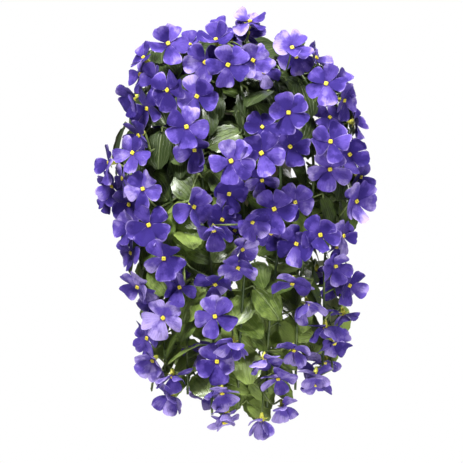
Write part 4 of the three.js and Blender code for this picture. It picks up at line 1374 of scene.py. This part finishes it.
@dataclass
class Room:
    """The places that blades and petals hold, which a further leaf keeps clear of.

    It hides behind the blooms' faces. Those of its row are within `row` of its height, and those of
    its column are within `column` of it sideways.
    """

    held: Array
    faces: Array
    clear: float = 2.2
    behind: float = 10.0
    row: float = 22.0
    column: float = 20.0
    furthest: float = 26.0
    past_side: float = 4.0
    past_top: float = 2.0
    past_foot: float = 6.0
    off_wall: float = 5.0

    def near(self, place: Array, reach: float) -> Array:
        """The held places within a reach of a place."""
        return self.held[np.abs(self.held - place).max(axis=1) < reach]

    def has(self, blade: Array, near: Array) -> bool:
        """Whether a blade's points all keep clear of the held places near it."""
        middle = blade.mean(axis=0)
        radius = np.linalg.norm(blade - middle, axis=1).max() + self.clear
        close = near[np.abs(near - middle).max(axis=1) < radius] - middle
        own = blade - middle
        squares = (own**2).sum(axis=1)[:, None] + (close**2).sum(axis=1) - 2 * own @ close.T
        return not len(close) or bool(squares.min() > self.clear**2)

    def hides(self, blade: Array) -> bool:
        """Whether a blade lies behind the blooms, and within the outline that they make from the front.

        Args:
            blade: The blade's points.

        Returns:
            True if its middle is behind the four blooms nearest in the front view, and no point of
            it stands out past the blooms of its row, on its own side, or of its column.
        """
        middle = blade.mean(axis=0)
        flat = np.linalg.norm((self.faces - middle)[:, [0, 2]], axis=1)
        closest = np.argsort(flat)[:4]
        row = self.faces[np.abs(self.faces[:, 2] - middle[2]) < self.row, 0]
        column = self.faces[np.abs(self.faces[:, 0] - middle[0]) < self.column, 2]
        if not len(row) or not len(column) or flat[closest[0]] > self.furthest:
            return False
        side = math.copysign(1.0, middle[0])
        return (
            middle[1] > self.faces[closest, 1].mean() + self.behind
            and (side * blade[:, 0]).max() < (side * row).max() + self.past_side
            and blade[:, 1].max() < -self.off_wall
            and blade[:, 2].max() < column.max() + self.past_top
            and blade[:, 2].min() > column.min() - self.past_foot
        )

    def hold(self, blade: Array) -> None:
        """Adds a blade to what is held."""
        self.held = np.vstack([self.held, blade])


@dataclass
class LeafyStem:
    """A trailing stem with its leaves: those of its solid, and further ones that fill the bush."""

    number: int
    trail: Trail
    steps: int = 90
    base_radius: float = 2.0
    tip_radius: float = 1.2
    knot: float = 0.12
    waver: float = 2.2
    wave: float = 0.42
    straight_steps: int = 8
    growing_steps: int = 12
    first_leaf: float = 30.0
    every: float = 5.0
    golden: float = 137.5
    turn_slack: float = 20.0
    leaf_reach: float = 62.0
    crown_foot: float = 70.0
    crown_height: float = 50.0
    stalk_length: float = 11.0
    stalk_radius: float = 1.0
    stem_tone: float = 0.05
    stalk_tone: float = 0.3
    leaf_tone: float = -0.45
    # Leaves that fill the bush sit behind the blooms and start from a darker tone: painted shade.
    shaded_filler_tone: float = -1.0
    lengths: Floats = (40.0, 34.0, 28.0)
    tries: Floats = (0.0, 60.0, -60.0, 120.0, -120.0, 180.0)

    def __post_init__(self) -> None:
        """Reads the stem's own leaves, and lets its line waver.

        The line runs round the solid stem's, off it by the waver times a sine and a cosine, which set
        in after its first, straight steps.
        """
        self.node = f"leafy_stem_{self.number:02d}"
        straight = self.trail.line(self.steps)
        place = np.arange(len(straight))
        grown = np.clip((place - self.straight_steps) / self.growing_steps, 0, 1) * self.waver
        along = unit(np.gradient(straight, axis=0) + 1e-9)
        side = across(np.broadcast_to([0.4, 0.8, 0.3], along.shape), along)
        phase = place * self.wave + self.number
        self.line = straight + (grown * np.sin(phase))[:, None] * side
        self.line += (grown * np.cos(0.8 * phase))[:, None] * np.cross(along, side)
        self.leaves = LeafPlan().read(self.node, straight, self.line)
        self.fillers: list[Stand] = []

    def standing_leaf(self, foot: Array, along: Array, turn: float, length: float) -> Stand:
        """A leaf that stands out of the stem.

        Its stalk's way is that of its turn round the stem + half the way outwards. Its face looks the
        way outwards + 0.35 of the stalk's way + 0.3 aside + 0.35 up, or 1.45 up on the crown. Its tip
        points along 0.7 of the stalk's way + 0.5 aside + 0.9 down, or 0.4 down on the crown.

        Args:
            foot: Where its stalk leaves the stem.
            along: The stem's way there.
            turn: Its stalk's turn round the stem.
            length: The blade's length.

        Returns:
            The leaf, with its stalk's points.
        """
        first = unit(np.cross(along, np.array([0.2, 1.0, 0.1])))
        out = unit(np.array([foot[0], foot[1] - self.trail.middle_y, 0.0]))
        way = unit(first * math.cos(turn) + np.cross(along, first) * math.sin(turn) + 0.5 * out)
        crown = float(np.clip((foot[2] - self.crown_foot) / self.crown_height, 0.0, 1.0))
        aside = np.cross(UP, out) * math.sin(turn * 1.7)
        normal = unit(out + 0.35 * way + 0.3 * aside + (0.35 + 1.1 * crown) * UP)
        up = across(0.7 * way - (0.9 - 0.5 * crown) * UP + 0.5 * aside, normal)
        base = foot + way * self.stalk_length + UP * 2.0
        return Stand(base, np.cross(up, normal), up, normal, length, stalk=[base, base - 3.0 * up, foot])

    def fill(self, room: Room, rng: Chance) -> None:
        """Sets further leaves along the stem, at each place the longest one that finds room round it.

        Args:
            room: What the leaves keep clear of, and are added to.
            rng: Where small changes of turn come from.
        """
        gone = np.concatenate([[0], np.cumsum(np.linalg.norm(np.diff(self.line, axis=0), axis=1))])
        flat = Stand(np.zeros(3), *np.eye(3), size=1.0)
        plan = Blades(count=7).grid([flat], np.random.default_rng(self.number)).reshape(-1, 3)

        def at(place: float) -> Array:
            """The stem's point at a distance from its root."""
            return np.array([np.interp(place, gone, self.line[:, axis]) for axis in range(3)])

        for slot, place in enumerate(np.arange(self.first_leaf, gone[-1], self.every)):
            foot = at(place)
            along = unit(at(place + 2) - foot + 1e-6)
            turn = self.golden * slot + rng.uniform(-self.turn_slack, self.turn_slack)
            near = room.near(foot, self.leaf_reach)
            for length, aside in product(self.lengths, self.tries):
                leaf = self.standing_leaf(foot, along, math.radians(turn + aside), length)
                blade = leaf.origin + length * plan @ np.array([leaf.right, leaf.up, leaf.normal])
                if room.hides(blade) and room.has(blade, near):
                    room.hold(blade)
                    self.fillers.append(leaf)
                    break

    def dress(self, leaf: Material, bark: Material) -> None:
        """Builds the stem with its leaves.

        Args:
            leaf: The blades' material.
            bark: The stem's and the stalks' material.
        """
        rng = np.random.default_rng(SEED + self.number)
        surfaces = []
        if self.leaves:
            surfaces.append(Blades().surface(self.leaves, rng, leaf, self.leaf_tone))
        if self.fillers:
            # Fillers, behind the blooms, take the darker tone range: painted shade.
            surfaces.append(Blades(count=7).surface(self.fillers, rng, leaf, self.shaded_filler_tone))
        radii = np.linspace(self.base_radius, self.tip_radius, len(self.line))
        knots = 1 + self.knot * np.sin(np.arange(len(self.line)) * 0.9) ** 8
        surfaces.append(round_tube(self.line, radii * knots, 8, self.stem_tone, bark))
        for own in self.leaves + self.fillers:
            path = np.array([own.stalk[0] + 2.0 * own.up, *own.stalk])
            line = smooth_path(path, 3 * len(path))
            radii = np.full(len(line), self.stalk_radius)
            surfaces.append(round_tube(line, radii, 6, self.stalk_tone, bark))
        add_piece(f"violet_stem_{self.number:02d}", surfaces, self.node)


@dataclass
class BloomSpray:
    """A spray: its blooms with their eyes and calyxes, on stalks that meet and run to a stem."""

    number: int
    stalk_radius: float = 0.9
    shoot_radius: float = 1.15
    stalk_sides: int = 7
    stalk_tone: float = 0.4
    socket: float = 4.0

    def __post_init__(self) -> None:
        """Reads the spray's blooms."""
        self.node = f"bloom_spray_{self.number:02d}"
        self.blooms = BloomPlan().read(self.node)

    def stalks(self, stems: Array, bark: Material) -> list[Surface]:
        """Works out the stalks, each drawn only as far as the first joint that another one reached.

        Args:
            stems: Points along all the stems' middle lines, shape (n, 3).
            bark: The stalks' material.

        Returns:
            The stalks as closed bodies.
        """
        made, drawn = [], []
        for bloom in self.blooms:
            way = []
            for joint in bloom.stalk:
                way.append(joint)
                if any(np.array_equal(joint, other) for other in drawn):
                    break
            else:
                way.append(stems[nearest(stems, way[-1])])
            drawn.extend(way)
            path = np.array([bloom.origin - self.socket * bloom.normal, *way])
            line = smooth_path(path, 5 * len(path))
            radii = np.linspace(self.stalk_radius, self.shoot_radius, len(line))
            made.append(round_tube(line, radii, self.stalk_sides, self.stalk_tone, bark))
        return made

    def dress(self, finishes: list[Material], stems: Array) -> None:
        """Builds the spray.

        Args:
            finishes: The petal's, the eye's, the calyx's and the stalk's materials.
            stems: Points along all the stems' middle lines.
        """
        petal, eye, calyx, bark = finishes
        rng = np.random.default_rng(SPRAY_SEED + self.number)
        surfaces = [
            Petals().surface(self.blooms, rng, petal),
            Eyes().surface(self.blooms, rng, eye),
            *Calyxes().surfaces(self.blooms, rng, calyx),
            *self.stalks(stems, bark),
        ]
        add_piece(f"violet_spray_{self.number:02d}", surfaces, self.node)


@dataclass
class Bush:
    """All that grows out of the pot."""

    sprays: int = 41

    def dress(self) -> None:
        """Builds the sprays and the stems, with further leaves where they find room behind the blooms."""
        sprays = [BloomSpray(number + 1) for number in range(self.sprays)]
        stems = [LeafyStem(number + 1, trail) for number, trail in enumerate(TRAILS)]
        blooms = [bloom for spray in sprays for bloom in spray.blooms]
        leaves = [leaf for stem in stems for leaf in stem.leaves]
        log.info("%d blooms and %d leaves are read from the solids", len(blooms), len(leaves))
        petals = Petals(count=5).surface(blooms, np.random.default_rng(SEED)).points
        blades = Blades(count=5).grid(leaves, np.random.default_rng(SEED)).reshape(-1, 3)
        room = Room(np.concatenate([petals, blades]), np.array([bloom.origin for bloom in blooms]))
        rng = np.random.default_rng(SEED)
        for stem in stems:
            stem.fill(room, rng)
        log.info("%d leaves fill the bush", sum(len(stem.fillers) for stem in stems))
        leaf, bark = LeafCloth().material(), StalkCoat().material()
        calyx = StalkCoat("calyx coat", colour(0.440, 0.470, 0.050), colour(0.820, 0.780, 0.110))
        finishes = [PetalCloth().material(), EyeDab().material(), calyx.material(), bark]
        lines = np.concatenate([stem.line for stem in stems])
        for spray in sprays:
            spray.dress(finishes, lines)
        for stem in stems:
            stem.dress(leaf, bark)


# ---- The studio ----


@dataclass
class Studio:
    """A white room with a pale floor, soft lamps and the photograph's camera."""

    distance: float = 3.0
    front: float = -0.14
    view_height: float = 0.463
    aim_x: float = -0.0055
    aim_z: float = -0.0615
    sensor: float = 36.0
    floor: float = -1.6
    floor_plan: tuple[Floats, ...] = ((-4, -4), (4, -4), (4, 3), (-4, 3))
    floor_glow: float = 0.5
    white: Colour = colour(1.0, 1.0, 1.0)
    air: Colour = colour(0.95, 0.98, 1.0)
    air_glow: float = 0.08
    lamp_aim: Floats = (0.0, -0.1, -0.06)
    lamps: tuple[tuple[str, Floats, float, float], ...] = (
        ("key", (-0.9, -1.5, 1.6), 0.45, 74.0),
        ("fill", (0.7, -1.9, -0.9), 0.8, 25.0),
        ("top", (0.3, -0.7, 1.9), 0.45, 52.0),
        ("back", (0.7, 2.3, 0.7), 0.9, 30.0),
    )

    def camera(self) -> None:
        """Sets the camera level, straight ahead of the bush, at the photograph's scale."""
        lens = bpy.data.cameras.new("camera")
        lens.sensor_width = self.sensor
        lens.lens = self.sensor * self.distance / self.view_height
        lens.clip_end = 100.0
        camera = add_object("camera", lens)
        camera.location = (self.aim_x, self.front - self.distance, self.aim_z)
        camera.rotation_euler = (math.pi / 2, 0.0, 0.0)
        bpy.context.scene.camera = camera

    def lamp(self, name: str, place: Floats, size: float, power: float) -> None:
        """Adds a square soft lamp that looks at the bush.

        Args:
            name: The lamp's name.
            place: Where it stands, in metres.
            size: Its side, in metres.
            power: Its power, in watts.
        """
        light = bpy.data.lights.new(name, "AREA")
        light.size = size
        light.energy = power
        lamp = add_object(name, light)
        lamp.location = place
        aim = Vector(self.lamp_aim) - Vector(place)
        lamp.rotation_euler = aim.to_track_quat("-Z", "Y").to_euler()

    def room(self) -> None:
        """Makes the surroundings: white to the camera, and a dim cool light to all else."""
        world = bpy.data.worlds.new("white room")
        world.use_nodes = True
        tree = world.node_tree
        seen, lit = tree.nodes["Background"], tree.nodes.new("ShaderNodeBackground")
        for node, tint, strength in ((seen, self.white, 1.0), (lit, self.air, self.air_glow)):
            node.inputs["Color"].default_value = tint
            node.inputs["Strength"].default_value = strength
        rays = tree.nodes.new("ShaderNodeLightPath")
        both = tree.nodes.new("ShaderNodeMixShader")
        tree.links.new(rays.outputs["Is Camera Ray"], both.inputs[0])
        tree.links.new(lit.outputs[0], both.inputs[1])
        tree.links.new(seen.outputs[0], both.inputs[2])
        tree.links.new(both.outputs[0], tree.nodes["World Output"].inputs["Surface"])
        bpy.context.scene.world = world

    def ground(self) -> None:
        """Makes the pale floor, which glows to the camera only."""
        mesh = bpy.data.meshes.new("floor")
        mesh.from_pydata([(x, y, self.floor) for x, y in self.floor_plan], [], [(0, 1, 2, 3)])
        floor = add_object("floor", mesh)
        pale = colour(0.8, 0.8, 0.8)
        nodes = Nodes("pale floor", Base_Color=pale, Roughness=0.8, Emission_Color=self.white)
        seen = nodes.add("LightPath", {}).outputs["Is Camera Ray"]
        nodes.feed(nodes.shader, "Emission Strength", nodes.maths("MULTIPLY", seen, self.floor_glow))
        mesh.materials.append(nodes.material)

    def set_up(self) -> None:
        """Sets the camera, the lamps, the room and the plain view of colours."""
        self.camera()
        self.room()
        self.ground()
        for lamp in self.lamps:
            self.lamp(*lamp)
        bpy.context.scene.view_settings.view_transform = "Standard"
        bpy.context.scene.view_settings.look = "None"


def write_sizes() -> None:
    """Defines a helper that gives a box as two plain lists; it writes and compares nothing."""
    def corners(box: Any) -> list[list[float]]:
        """A box as two plain lists."""
        return [[float(value) for value in corner] for corner in box]


def main() -> None:
    """Sets up the studio and dresses the pot, its soil and the bush."""
    logging.basicConfig(level=logging.INFO, format="%(name)s: %(message)s")
    Studio().set_up()
    pot = WallPot()
    pot.dress()
    PottingSoil(pot).dress()
    Bush().dress()
    write_sizes()


if __name__ == "__main__":
    main()
